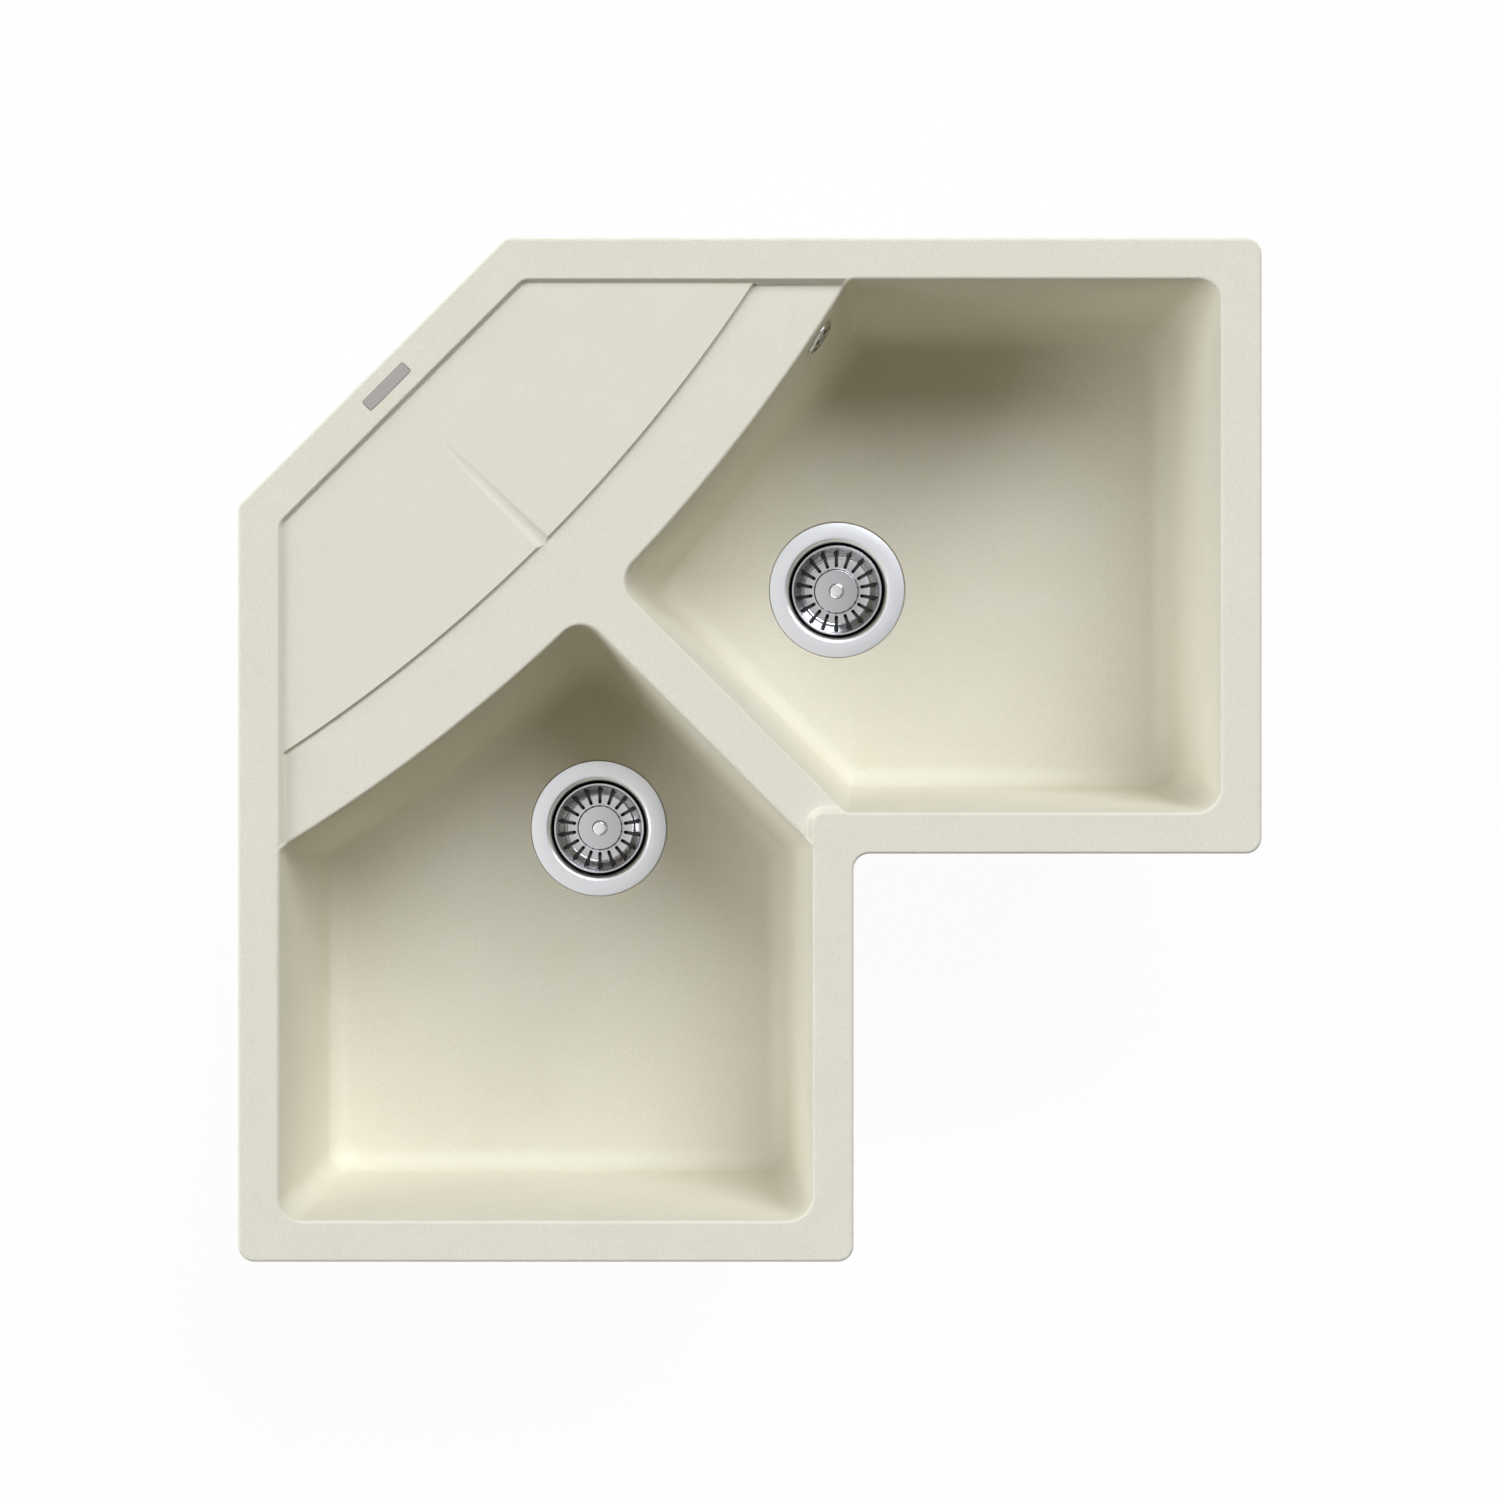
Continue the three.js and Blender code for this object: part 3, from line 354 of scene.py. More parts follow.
def crossing(a, b):
    """Where two edges cross, on the side nearer the origin."""
    if a[0] == "arc":
        return crossing(b, a)
    outward, distance = a[1], a[2]
    along = np.array([-outward[1], outward[0]])
    if b[0] == "arc":
        reach = distance - outward @ b[1]
        middle = b[1] + outward * reach
        half = np.sqrt(b[2] ** 2 - reach ** 2)
        ends = [middle + along * half, middle - along * half]
        return min(ends, key=np.linalg.norm)
    step = (b[2] - distance * (outward @ b[1])) / (along @ b[1])
    return outward * distance + along * step


def nearest_on(edge, point):
    kind, place, size = edge
    if kind == "arc":
        away = point - place
        return place + away * (size / np.linalg.norm(away))
    return point + place * (size - place @ point)


def swing(centre, start, end, count):
    """Points round a centre from start to end, both included, the short way."""
    a = start - centre
    b = end - centre
    sweep = np.arctan2(a[0] * b[1] - a[1] * b[0], a @ b)
    angles = np.arctan2(a[1], a[0]) + sweep * np.linspace(0, 1, count + 1)
    return centre + np.linalg.norm(a) * np.stack([np.cos(angles), np.sin(angles)], 1)


def outline(shape, inset=0.0, parallel=True, steps=12, pieces=1, only=None):
    """A closed run of points: each corner as an arc, then the edge after it cut in equal pieces. Corners of
    a parallel outline shrink with the inset, to a small rounding at last; the others keep their radius and
    grow only outwards. only keeps the run from the corner before that edge to the corner after it."""
    edges, radii = shape
    sides = [moved(edge, inset) for edge in edges]
    corners = []
    for i, radius in enumerate(radii):
        if radius < 0:
            radius = radius - inset
        elif parallel:
            radius = max(radius - inset, smallest_corner)
        else:
            radius = radius + max(-inset, 0.0)
        after = (i + 1) % len(sides)
        centre = crossing(moved(sides[i], radius), moved(sides[after], radius))
        start = nearest_on(sides[i], centre)
        end = nearest_on(sides[after], centre)
        corners.append(swing(centre, start, end, steps))
    runs = []
    for i, corner in enumerate(corners):
        after = (i + 1) % len(sides)
        start = corner[-1]
        end = corners[after][0]
        if sides[after][0] == "arc":
            between = swing(sides[after][1], start, end, 4 * max(pieces, 6))[1:-1]
        else:
            between = start + (end - start) * (np.arange(1, pieces) / pieces)[:, None]
        if only is None:
            runs += [corner, between]
        elif after == only:
            runs = [corner, between, corners[after]]
            break
    return np.concatenate(runs)


outer_shape = (
    [line(0, half_width), line(90, half_width), line(135, bevel_line), line(180, half_width),
     line(270, half_width), line(0, notch_line), line(270, notch_line)],
    [outer_corner, bevel_corner, bevel_corner, outer_corner, outer_corner, -notch_corner, outer_corner],
)
inner_shape = (
    [moved(edge, rim_width) for edge in outer_shape[0]],
    [bowl_back_corner, inner_corner, inner_corner, bowl_back_corner, bowl_front_corner, -front_corner,
     bowl_front_corner],
)
# The crest of the crease lies where the band's step has fallen as low as the drainer.
fall_share = np.linspace(0, 1, 101)
crest_inset = band_step * np.interp(drainer_drop / band_drop, smooth(fall_share), fall_share) - step_lead
band_shape = (
    inner_shape[0][:2] + [arc(arc_centre, crease_radius - crease_lip - crest_inset)] + inner_shape[0][3:],
    [bowl_back_corner, crease_corner, crease_corner, bowl_back_corner, bowl_front_corner, -front_corner,
     bowl_front_corner],
)
bowl_shape = (
    [line(0, inner_line), line(90, inner_line), arc(arc_centre, bowl_arc), line(225, -bridge_width / 2),
     line(270, notch_inner)],
    [bowl_back_corner, arc_corner, crotch_corner, bridge_corner, bowl_front_corner],
)


def bowl_outline(inset, mirrored):
    """One bowl's outline; the left bowl mirrors the right one across the diagonal."""
    points = outline(bowl_shape, inset, parallel=False, steps=14, pieces=12)
    return -points[::-1, ::-1] if mirrored else points


def outline_rows(stages, shape=outer_shape, steps=12):
    """Rows of an outline, one for each (inset, height)."""
    return [raised(outline(shape, inset, steps=steps), height) for inset, height in stages]


# ---------------------------------------------------------------- distances

def to_edges(points, loop):
    """From each point to each edge of a closed loop: how far along the edge the nearest spot lies, as a
    share of it, and the distance to that spot."""
    along = np.roll(loop, -1, axis=0) - loop
    away = points[:, None] - loop[None]
    share = np.clip((away * along).sum(2) / (along ** 2).sum(1), 0, 1)
    return share, np.linalg.norm(away - share[..., None] * along, axis=2)


def signed_distance(points, loop):
    """Distance of points from a closed loop, above zero inside it."""
    distance = to_edges(points, loop)[1].min(1)
    ends = np.roll(loop, -1, axis=0)
    along = ends - loop
    rises = (loop[:, 1] <= points[:, None, 1]) != (ends[:, 1] <= points[:, None, 1])
    safe = np.where(along[:, 1] == 0, 1, along[:, 1])
    reach = loop[:, 0] + (points[:, None, 1] - loop[:, 1]) / safe * along[:, 0]
    inside = (rises & (points[:, None, 0] < reach)).sum(1) % 2 == 1
    return np.where(inside, distance, -distance)


# ---------------------------------------------------------------- the deck's height

inner_loop = outline(inner_shape, steps=24)
band_loop = outline(band_shape, steps=24, pieces=12)
badge_low, badge_high = node_box("badge_plate")
badge_middle = diagonal(bevel_line - rim_width / 2, 0)
badge_half = np.array([badge_length, badge_width]) / 2 + badge_gap


def step_down(distance, width):
    """A rounded step over a width: from zero before its line to one past it."""
    return smooth((distance + step_lead) / width)


def groove_fall(along):
    """The trough's depth along the diagonal: full at the crease, none at its upper end."""
    past = (along - crease_apex) / groove_length
    return (groove_depth + groove_soft / 2) * (1 - np.clip(past, 0, None))


def groove_cut(points):
    """A round trough along the drainer's middle: it deepens evenly towards the crease, and its section is
    an arc, so it widens with the root of its depth."""
    across, along = diagonal_frame(points)
    rise = groove_radius - np.sqrt(np.clip(groove_radius ** 2 - across ** 2, 0, None))
    cut = groove_fall(along) - rise
    cut = (cut + np.sqrt(cut ** 2 + groove_soft ** 2)) / 2 - groove_soft / 2
    on_drainer = (along > crease_apex - band_step) & (np.abs(across) < groove_radius)
    return np.where(on_drainer, np.maximum(cut, 0), 0)


def deck_height(points):
    """The moulding's top, seen from above: the rim less a step down to the drainer and a deeper one to the
    band, less the groove in the drainer and the badge's recess in the rim."""
    drainer = drainer_drop * step_down(signed_distance(points, inner_loop), drainer_step)
    band = band_drop * step_down(signed_distance(points, band_loop), band_step)
    across, along = diagonal_frame(points - badge_middle)
    on_badge = (np.abs(across) < badge_half[0]) & (np.abs(along) < badge_half[1])
    return rim_height - np.maximum(drainer + groove_cut(points), band) - badge_recess * on_badge


# ---------------------------------------------------------------- where clips and overflow stand

def placed(points, place):
    return points @ place[:3, :3].T + place[:3, 3]


def at(x, y, z=0.0, degrees=0.0):
    """A place in the sink's frame, turned about +Z."""
    angle = np.radians(degrees)
    place = np.eye(4)
    place[:2, :2] = [[np.cos(angle), -np.sin(angle)], [np.sin(angle), np.cos(angle)]]
    place[:3, 3] = x, y, z
    return place


def facing(spot, outward, lean=0.0):
    """A place whose +Z points outwards from an upright axis, tipped up by an angle."""
    out_x, out_y = outward
    place = np.eye(4)
    place[:3, 0] = -out_y, out_x, 0
    place[:3, 1] = -out_x * np.sin(lean), -out_y * np.sin(lean), np.cos(lean)
    place[:3, 2] = out_x * np.cos(lean), out_y * np.cos(lean), np.sin(lean)
    place[:3, 3] = spot
    return place


def wall_inset(height):
    """How far a bowl's wall has come in at a height, below its rounded edge."""
    top = band_level - bowl_edge
    return wall_lean * (top - height) / (top - foot_level - floor_fillet)


# The outward angle of the edge that each clip stands along.
clip_angles = {
    "right_side": 0, "right_back_outer": 90, "right_back_inner": 90, "back": 135, "left_back_inner": 180,
    "left_back_outer": 180, "left_side": 270, "left_front": 0, "right_front": 270,
}
clips = {name: at(*node_middle(f"clip_screw_{name}")[:2], 0, degrees)
         for name, degrees in clip_angles.items()}

overflow_height = rim_height - overflow_drop
overflow_turn = np.radians(315) + overflow_along / bowl_arc
overflow_way = np.array([np.cos(overflow_turn), np.sin(overflow_turn)])
overflow_spot = arc_centre + overflow_way * (bowl_arc + wall_inset(overflow_height))
overflow_lean = np.arctan(wall_inset(band_level - bowl_edge - 1))
overflow_frame = facing((*overflow_spot, overflow_height), overflow_way, overflow_lean)
overflow_seat = -shell - overflow_boss_stand
chamber_middle = overflow_seat - gasket_thickness - 2 * seat_gap - elbow_depth / 2
chamber_spot = overflow_frame[:3, 3] + overflow_frame[:3, 2] * chamber_middle
elbow_end = overflow_height - elbow_drop
inlet_height = floor_level - inlet_drop
inlet_end = housing_radius + inlet_reach
inlet_length = np.linalg.norm(chamber_spot[:2] - wastes["right"][:2])
inlet_way = (chamber_spot[:2] - wastes["right"][:2]) / inlet_length
inlet_frame = facing((*wastes["right"][:2], inlet_height), inlet_way)


# ---------------------------------------------------------------- meshes

def make_object(name, skin, material, smooth_angle=35.0):
    """An object from a skin's points in millimetres and its faces: doubles welded, smooth up to an
    angle."""
    weld = 0.004 * MM
    points, faces = skin
    mesh = bpy.data.meshes.new(name)
    mesh.from_pydata((np.asarray(points, float) * MM).tolist(), [], faces)
    cleaned = bmesh.new()
    cleaned.from_mesh(mesh)
    bmesh.ops.remove_doubles(cleaned, verts=cleaned.verts, dist=weld)
    bmesh.ops.dissolve_degenerate(cleaned, edges=cleaned.edges, dist=weld / 4)
    bmesh.ops.recalc_face_normals(cleaned, faces=cleaned.faces)
    cleaned.to_mesh(mesh)
    cleaned.free()
    mesh.shade_smooth()
    mesh.set_sharp_from_angle(angle=np.radians(smooth_angle))
    mesh.materials.append(material)
    piece = bpy.data.objects.new(name, mesh)
    bpy.context.scene.collection.objects.link(piece)
    return piece


def stand(piece, body, slot, *nodes):
    """The piece rides on a body and stands for CAD nodes, which it hides. The slot is not used."""
    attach(piece, body)
    if nodes:
        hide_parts(*nodes)


def carved(piece, skin, smooth_angle=35.0):
    """The piece less the shape of a tool's skin."""
    tool = make_object("tool", skin, piece.data.materials[0])
    modifier = piece.modifiers.new("carve", "BOOLEAN")
    modifier.operation = "DIFFERENCE"
    modifier.solver = "EXACT"
    modifier.object = tool
    evaluated = piece.evaluated_get(bpy.context.evaluated_depsgraph_get())
    mesh = bpy.data.meshes.new_from_object(evaluated)
    piece.modifiers.clear()
    mesh.name = piece.name
    mesh.shade_smooth()
    mesh.set_sharp_from_angle(angle=np.radians(smooth_angle))
    piece.data = mesh
    bpy.data.objects.remove(tool)
    return piece


def grid_faces(rows, columns, close_rows=False, close_columns=False, first=0):
    """Quads of a grid of points listed row by row."""
    r = np.arange(rows if close_rows else rows - 1)[:, None] * columns
    c = np.arange(columns if close_columns else columns - 1)[None]
    r_next = (r + columns) % (rows * columns)
    c_next = (c + 1) % columns
    quads = np.stack([r + c, r + c_next, r_next + c_next, r_next + c], -1)
    return (quads.reshape(-1, 4) + first).tolist()


def ringed(rows, place=None, closed=False, capped=False):
    """Points and faces of a skin over rows of points, each row a ring round the axis. closed joins the last
    row to the first; capped shuts both ends with flat faces."""
    rows = np.asarray(rows, float)
    count, sides = rows.shape[:2]
    points = rows.reshape(-1, 3)
    faces = grid_faces(count, sides, close_rows=closed, close_columns=True)
    if capped:
        faces.append(list(range(sides))[::-1])
        faces.append(list(range((count - 1) * sides, count * sides)))
    return (points if place is None else placed(points, place)), faces


def together(*parts):
    """Several skins as one."""
    points = []
    faces = []
    count = 0
    for part_points, part_faces in parts:
        points.append(part_points)
        faces += [[corner + count for corner in face] for face in part_faces]
        count += len(part_points)
    return np.concatenate(points), faces


def eased(corners, closed=True, steps=4):
    """A half section from its corners (radius, height, rounding): each is replaced by an arc that touches
    both its sides."""
    spots = np.array([corner[:2] for corner in corners], float)
    runs = []
    for i, (_, _, rounding) in enumerate(corners):
        at_end = not closed and i in (0, len(corners) - 1)
        if at_end or not rounding:
            runs.append(spots[i][None])
            continue
        back = spots[i - 1] - spots[i]
        ahead = spots[(i + 1) % len(spots)] - spots[i]
        back = back / np.linalg.norm(back)
        ahead = ahead / np.linalg.norm(ahead)
        half = np.arccos(np.clip(back @ ahead, -1, 1)) / 2
        inwards = (back + ahead) / np.linalg.norm(back + ahead)
        centre = spots[i] + inwards * (rounding / np.sin(half))
        reach = rounding / np.tan(half)
        runs.append(swing(centre, spots[i] + back * reach, spots[i] + ahead * reach, steps))
    return np.concatenate(runs)


def rows_round(across, heights, sides):
    """Rows of points round +Z, from their distances from the axis and their heights."""
    x = across * np.cos(around(sides))
    return np.stack([x, across * np.sin(around(sides)), np.broadcast_to(heights, x.shape)], -1)


def turned(section, sides=96):
    """Rows of a half section turned about +Z."""
    section = np.asarray(section, float)
    return rows_round(section[:, :1], section[:, 1:2], sides)


def threaded(radius, low, high, pitch, depth, sides=96, steps=6):
    """Rows of a screw thread. The radius falls and rises once a pitch along the axis, and that wave climbs
    one pitch a turn; it fades out over the last pitch at both ends."""
    heights = np.linspace(low, high, max(int(round((high - low) / pitch * steps)), 2) + 1)[:, None]
    wave = np.abs((heights / pitch - around(sides) / TURN) % 1 * 2 - 1)
    fade = np.clip(np.minimum(heights - low, high - heights) / pitch, 0, 1)
    return rows_round(radius - depth * wave * fade, heights, sides)


def spun(corners, place=None, sides=96, closed=False, steps=4):
    """The skin of a half section with eased corners, turned about +Z; closed, where it is a ring."""
    return ringed(turned(eased(corners, closed, steps), sides), place, closed)


def rod(radius, low, high, sides=32, place=None):
    """A plain round tool or core."""
    return ringed(turned([[0, low], [radius, low], [radius, high], [0, high]], sides), place)


def rods_round(count, distance, radius, low, high, place):
    """Round tools evenly round +Z."""
    spots = [at(distance * np.cos(t), distance * np.sin(t)) for t in around(count)]
    return together(*[rod(radius, low, high, 24, place @ spot) for spot in spots])


def ring(inner, outer, low, high, rounding, place=None, sides=96):
    """A flat ring with rounded edges."""
    corners = [(inner, low), (outer, low), (outer, high), (inner, high)]
    return spun([(*corner, rounding) for corner in corners], place, sides, closed=True)


def prism(flat, low, high, place=None):
    """An upright block on a closed run of points."""
    return ringed([raised(flat, low), raised(flat, high)], place, capped=True)


def rectangle(long, wide):
    """Corners of a rectangle round the origin, from its half sizes."""
    return np.array([[-1, -1], [1, -1], [1, 1], [-1, 1]]) * (long, wide)


def mark_rings(piece, place):
    """Keeps each point's distance from its spindle's axis, in metres, for the turned finish."""
    mesh = piece.data
    points = np.empty(len(mesh.vertices) * 3, np.float32)
    mesh.vertices.foreach_get("co", points)
    away = points.reshape(-1, 3)[:, :2] - place[:2, 3] * MM
    layer = mesh.attributes.new("spindle_radius", "FLOAT", "POINT")
    layer.data.foreach_set("value", np.linalg.norm(away, axis=1).astype(np.float32))
    return piece


# ---------------------------------------------------------------- materials

def linear(code):
    """An sRGB hex colour as linear values with an alpha of one."""
    values = np.array([int(code[i:i + 2], 16) for i in (1, 3, 5)]) / 255
    values = np.where(values <= 0.04045, values / 12.92, ((values + 0.055) / 1.055) ** 2.4)
    return (*values, 1.0)


def feed(tree, node, inputs):
    """Fills a node's inputs with values, or links them to the output sockets given."""
    for key, value in inputs.items():
        if isinstance(value, bpy.types.NodeSocket):
            tree.links.new(value, node.inputs[key])
        else:
            node.inputs[key].default_value = value


def add(tree, kind, inputs=None, **settings):
    node = tree.nodes.new(kind)
    for key, value in settings.items():
        setattr(node, key, value)
    feed(tree, node, inputs or {})
    return node


def new_material(name, colour, roughness, metallic=0.0):
    material = bpy.data.materials.new(name)
    material.use_nodes = True
    tree = material.node_tree
    shader = tree.nodes["Principled BSDF"]
    feed(tree, shader, {"Base Color": linear(colour), "Roughness": roughness, "Metallic": metallic})
    return material, tree, shader


def per_mm(size):
    """A pattern's scale that gives features of a size in millimetres."""
    return 1.0 / (size * MM)


def noise(tree, size, detail=2.0):
    """Noise in the object's own space."""
    place = add(tree, "ShaderNodeTexCoord").outputs["Object"]
    inputs = {"Vector": place, "Scale": per_mm(size), "Detail": detail}
    return add(tree, "ShaderNodeTexNoise", inputs).outputs["Fac"]


def math(tree, operation, a, b):
    return add(tree, "ShaderNodeMath", {0: a, 1: b}, operation=operation).outputs[0]


def mapped(tree, value, low, high, start=0.0, end=1.0):
    """A value's range from start to end, stretched to run from low to high."""
    inputs = {"Value": value, "From Min": start, "From Max": end, "To Min": low, "To Max": high}
    return add(tree, "ShaderNodeMapRange", inputs).outputs[0]


def mixed(tree, factor, a, b, **settings):
    """Two colours mixed."""
    inputs = {"Factor": factor, "A": a, "B": b}
    return add(tree, "ShaderNodeMix", inputs, data_type="RGBA", **settings).outputs["Result"]


def bump(tree, height, strength, depth):
    inputs = {"Height": height, "Strength": strength, "Distance": depth * MM}
    return add(tree, "ShaderNodeBump", inputs).outputs[0]


def ramp(tree, fac, stops):
    """Colours at positions along a value."""
    node = add(tree, "ShaderNodeValToRGB", {"Fac": fac})
    elements = node.color_ramp.elements
    while len(elements) < len(stops):
        elements.new(0.5)
    for element, (position, colour) in zip(elements, stops):
        element.position = position
        element.color = linear(colour)
    return node.outputs["Color"]


def cream_composite():
    """Quartz and resin cast in a mould: matte cream, with a fine grain of lighter and darker specks that
    the eye hardly parts, and a skin just rough enough to break up highlights."""
    grain, speck, mottle = 1.2, 1.7, 45.0
    speck_share, speck_strength = 0.16, 0.12
    material, tree, shader = new_material("cream_granite_composite", "#dfdac8", 0.6)
    fine = noise(tree, grain, 3.0)
    place = add(tree, "ShaderNodeTexCoord").outputs["Object"]
    cells = add(tree, "ShaderNodeTexVoronoi", {"Vector": place, "Scale": per_mm(speck)})
    base = ramp(tree, fine, [(0.30, "#dad5c1"), (0.50, "#dfdac8"), (0.70, "#e4e0d0")])
    tone = ramp(tree, noise(tree, mottle), [(0.35, "#fdfdfb"), (0.65, "#ffffff")])
    soft = mixed(tree, 1.0, base, tone, blend_type="MULTIPLY")
    dots = math(tree, "LESS_THAN", cells.outputs["Distance"], speck_share)
    speckled = mixed(tree, math(tree, "MULTIPLY", dots, speck_strength), soft, linear("#a9a189"))
    rough = mapped(tree, fine, 0.52, 0.68)
    feed(tree, shader, {"Base Color": speckled, "Roughness": rough, "Normal": bump(tree, fine, 0.10, 0.1)})
    return material


def ringed_steel(name, colour, roughness, pitch, depth, inside=None):
    """Stainless sheet polished on a spindle: fine rings round its axis, coarser than real ones, so that
    they show, and a slight unevenness. A cup's inside may be given a dark colour that ends where the
    flange begins: painted shade, so that the gap between the cup and the basket reads black."""
    blotch = 9.0
    material, tree, shader = new_material(name, colour, roughness, 1.0)
    radius = add(tree, "ShaderNodeAttribute", attribute_name="spindle_radius").outputs["Fac"]
    inputs = {"W": radius, "Scale": per_mm(pitch), "Detail": 2.0}
    rings = add(tree, "ShaderNodeTexNoise", inputs, noise_dimensions="1D").outputs["Fac"]
    uneven = math(tree, "ADD", rings, noise(tree, blotch))
    rough = mapped(tree, uneven, roughness * 0.75, roughness * 1.3, end=2.0)
    feed(tree, shader, {"Roughness": rough, "Normal": bump(tree, rings, 0.3, depth)})
    # inside is painted shade: below the flange the cup is made dark for the shadowed gap round the basket
    if inside:
        polished = mapped(tree, radius, 0.0, 1.0, (cup_radius + 0.2) * MM, (cup_radius + 2.0) * MM)
        feed(tree, shader, {"Base Color": mixed(tree, polished, linear(inside), linear(colour))})
    return material


def plain_metal(name, colour, roughness, scale):
    """Plated or polished metal with the slight unevenness that handling and tooling leave."""
    spread = 0.25
    material, tree, shader = new_material(name, colour, roughness, 1.0)
    uneven = noise(tree, scale, 3.0)
    rough = mapped(tree, uneven, roughness * (1 - spread), roughness * (1 + spread))
    feed(tree, shader, {"Roughness": rough, "Normal": bump(tree, uneven, 0.08, 0.05)})
    return material


def moulded(name, light, dark, roughness):
    """Moulded plastic or rubber: one colour through, a faint mottle and a fine satin texture."""
    grain, mottle = 0.9, 14.0
    material, tree, shader = new_material(name, light, roughness)
    colour = ramp(tree, noise(tree, mottle), [(0.3, dark), (0.7, light)])
    feed(tree, shader, {"Base Color": colour, "Normal": bump(tree, noise(tree, grain), 0.2, 0.06)})
    return material


composite = cream_composite()
# The dark inside colour #4a4a4c is painted shade for the gap between the cup and the basket.
flange_steel = ringed_steel("polished_flange_painted_shade_cup", "#dedee0", 0.32, 0.7, 0.012, inside="#4a4a4c")
basket_steel = ringed_steel("polished_stainless_basket", "#bfbfc1", 0.16, 0.9, 0.008)
badge_metal = plain_metal("brushed_aluminium_plate", "#9f9c99", 0.42, 0.8)
knob_chrome = plain_metal("chromed_brass_knob", "#e4e4e6", 0.10, 6.0)
cover_chrome = plain_metal("chromed_cover", "#dfdfe2", 0.09, 6.0)
zinc_steel = plain_metal("zinc_plated_steel", "#b3b5b6", 0.42, 2.2)
screw_steel = plain_metal("stainless_screw", "#bdbebf", 0.30, 1.6)
brass = plain_metal("turned_brass", "#b9964d", 0.35, 1.6)
seal_rubber = moulded("black_seal_rubber", "#2c2c2c", "#262626", 0.82)
plug_rubber = moulded("dark_plug_rubber", "#262728", "#202122", 0.75)
waste_plastic = moulded("white_polypropylene", "#dcdcda", "#d4d4d1", 0.45)
nut_plastic = moulded("grey_polypropylene", "#4d4f51", "#454749", 0.5)


# ---------------------------------------------------------------- the moulding

def deck_lines():
    """Every line that the deck's mesh has to follow: closed outlines, and open runs. The first three are
    the deck's own edge and the bowls' edges."""
    flat = 0.8  # a second line this far off keeps the level part level
    lip = 0.05  # the badge recess's upright sides lean this far each way
    overrun = 3.0  # how far the groove's lines run on past the crest

    def over_step(start, count):
        end = band_step - step_lead
        return [start - flat, *np.linspace(start, end, count), end + flat]

    closed = []
    for margin in (0.0, flat):
        closed.append(outline(outer_shape, rim_edge + margin))
        closed += [bowl_outline(-bowl_edge - margin, mirrored) for mirrored in (False, True)]
    closed += [outline(inner_shape, inset, steps=14) for inset in over_step(-step_lead, 12)]
    for edge in (lip, -lip):
        across, along = -rectangle(*(badge_half + edge)).T
        closed.append(badge_middle + diagonal(along, across))
    opened = [outline(band_shape, inset, steps=10, pieces=12, only=2) for inset in over_step(crest_inset, 6)]
    along = crease_apex - overrun + (groove_length - overrun) * np.linspace(0, 1, 17)
    depth = groove_fall(along)
    edge = np.sqrt(np.clip(2 * groove_radius * depth - depth ** 2, 0, None))
    for share in (-1.15, -1.0, -0.85, -0.6, -0.3, 0.0, 0.3, 0.6, 0.85, 1.0, 1.15):
        opened.append(diagonal(along, edge * share))
    return closed, opened


def triangulated(closed, opened):
    """A Delaunay mesh that keeps every given line."""
    points = []
    edges = []
    for run, is_closed in [(r, True) for r in closed] + [(r, False) for r in opened]:
        first = len(points)
        count = len(run)
        points += [Vector(p) for p in run.tolist()]
        edges += [(first + k, first + k + 1) for k in range(count - 1)]
        if is_closed:
            edges.append((first + count - 1, first))
    spots, _, triangles, _, _, _ = delaunay_2d_cdt(points, edges, [], 0, 1e-4)
    return np.array([tuple(p) for p in spots]), np.array(triangles)


def trimmed(spots, triangles, boundary, holes):
    """The triangles that lie inside the boundary and outside the holes."""
    middles = spots[triangles].mean(1)
    keep = signed_distance(middles, boundary) > 0
    for hole in holes:
        keep &= signed_distance(middles, hole) < 0
    return triangles[keep]


def on_loop(spots, loop):
    """Which points lie on a loop, and how far round it each one is, counted in the loop's points."""
    on_line = 0.002
    share, distance = to_edges(spots, loop)
    nearest = distance.argmin(1)
    picked = np.arange(len(spots))
    found = np.nonzero(distance[picked, nearest] < on_line)[0]
    rounds = (nearest + share[picked, nearest])[found] % len(loop)
    order = np.argsort(rounds)
    return found[order], rounds[order]


def sampled(loop, rounds):
    """A loop's points at places counted in its points, between neighbours in a straight line."""
    low = np.floor(rounds).astype(int) % len(loop)
    share = (rounds - np.floor(rounds))[:, None]
    return loop[low] * (1 - share) + loop[(low + 1) % len(loop)] * share


def rounded_edge(radius, count):
    """How far inside its side and below its top each point of a rounded edge lies, from the top down."""
    turns = np.radians(np.linspace(0, 90, count))
    return list(zip(radius * (1 - np.sin(turns)), radius * (1 - np.cos(turns))))


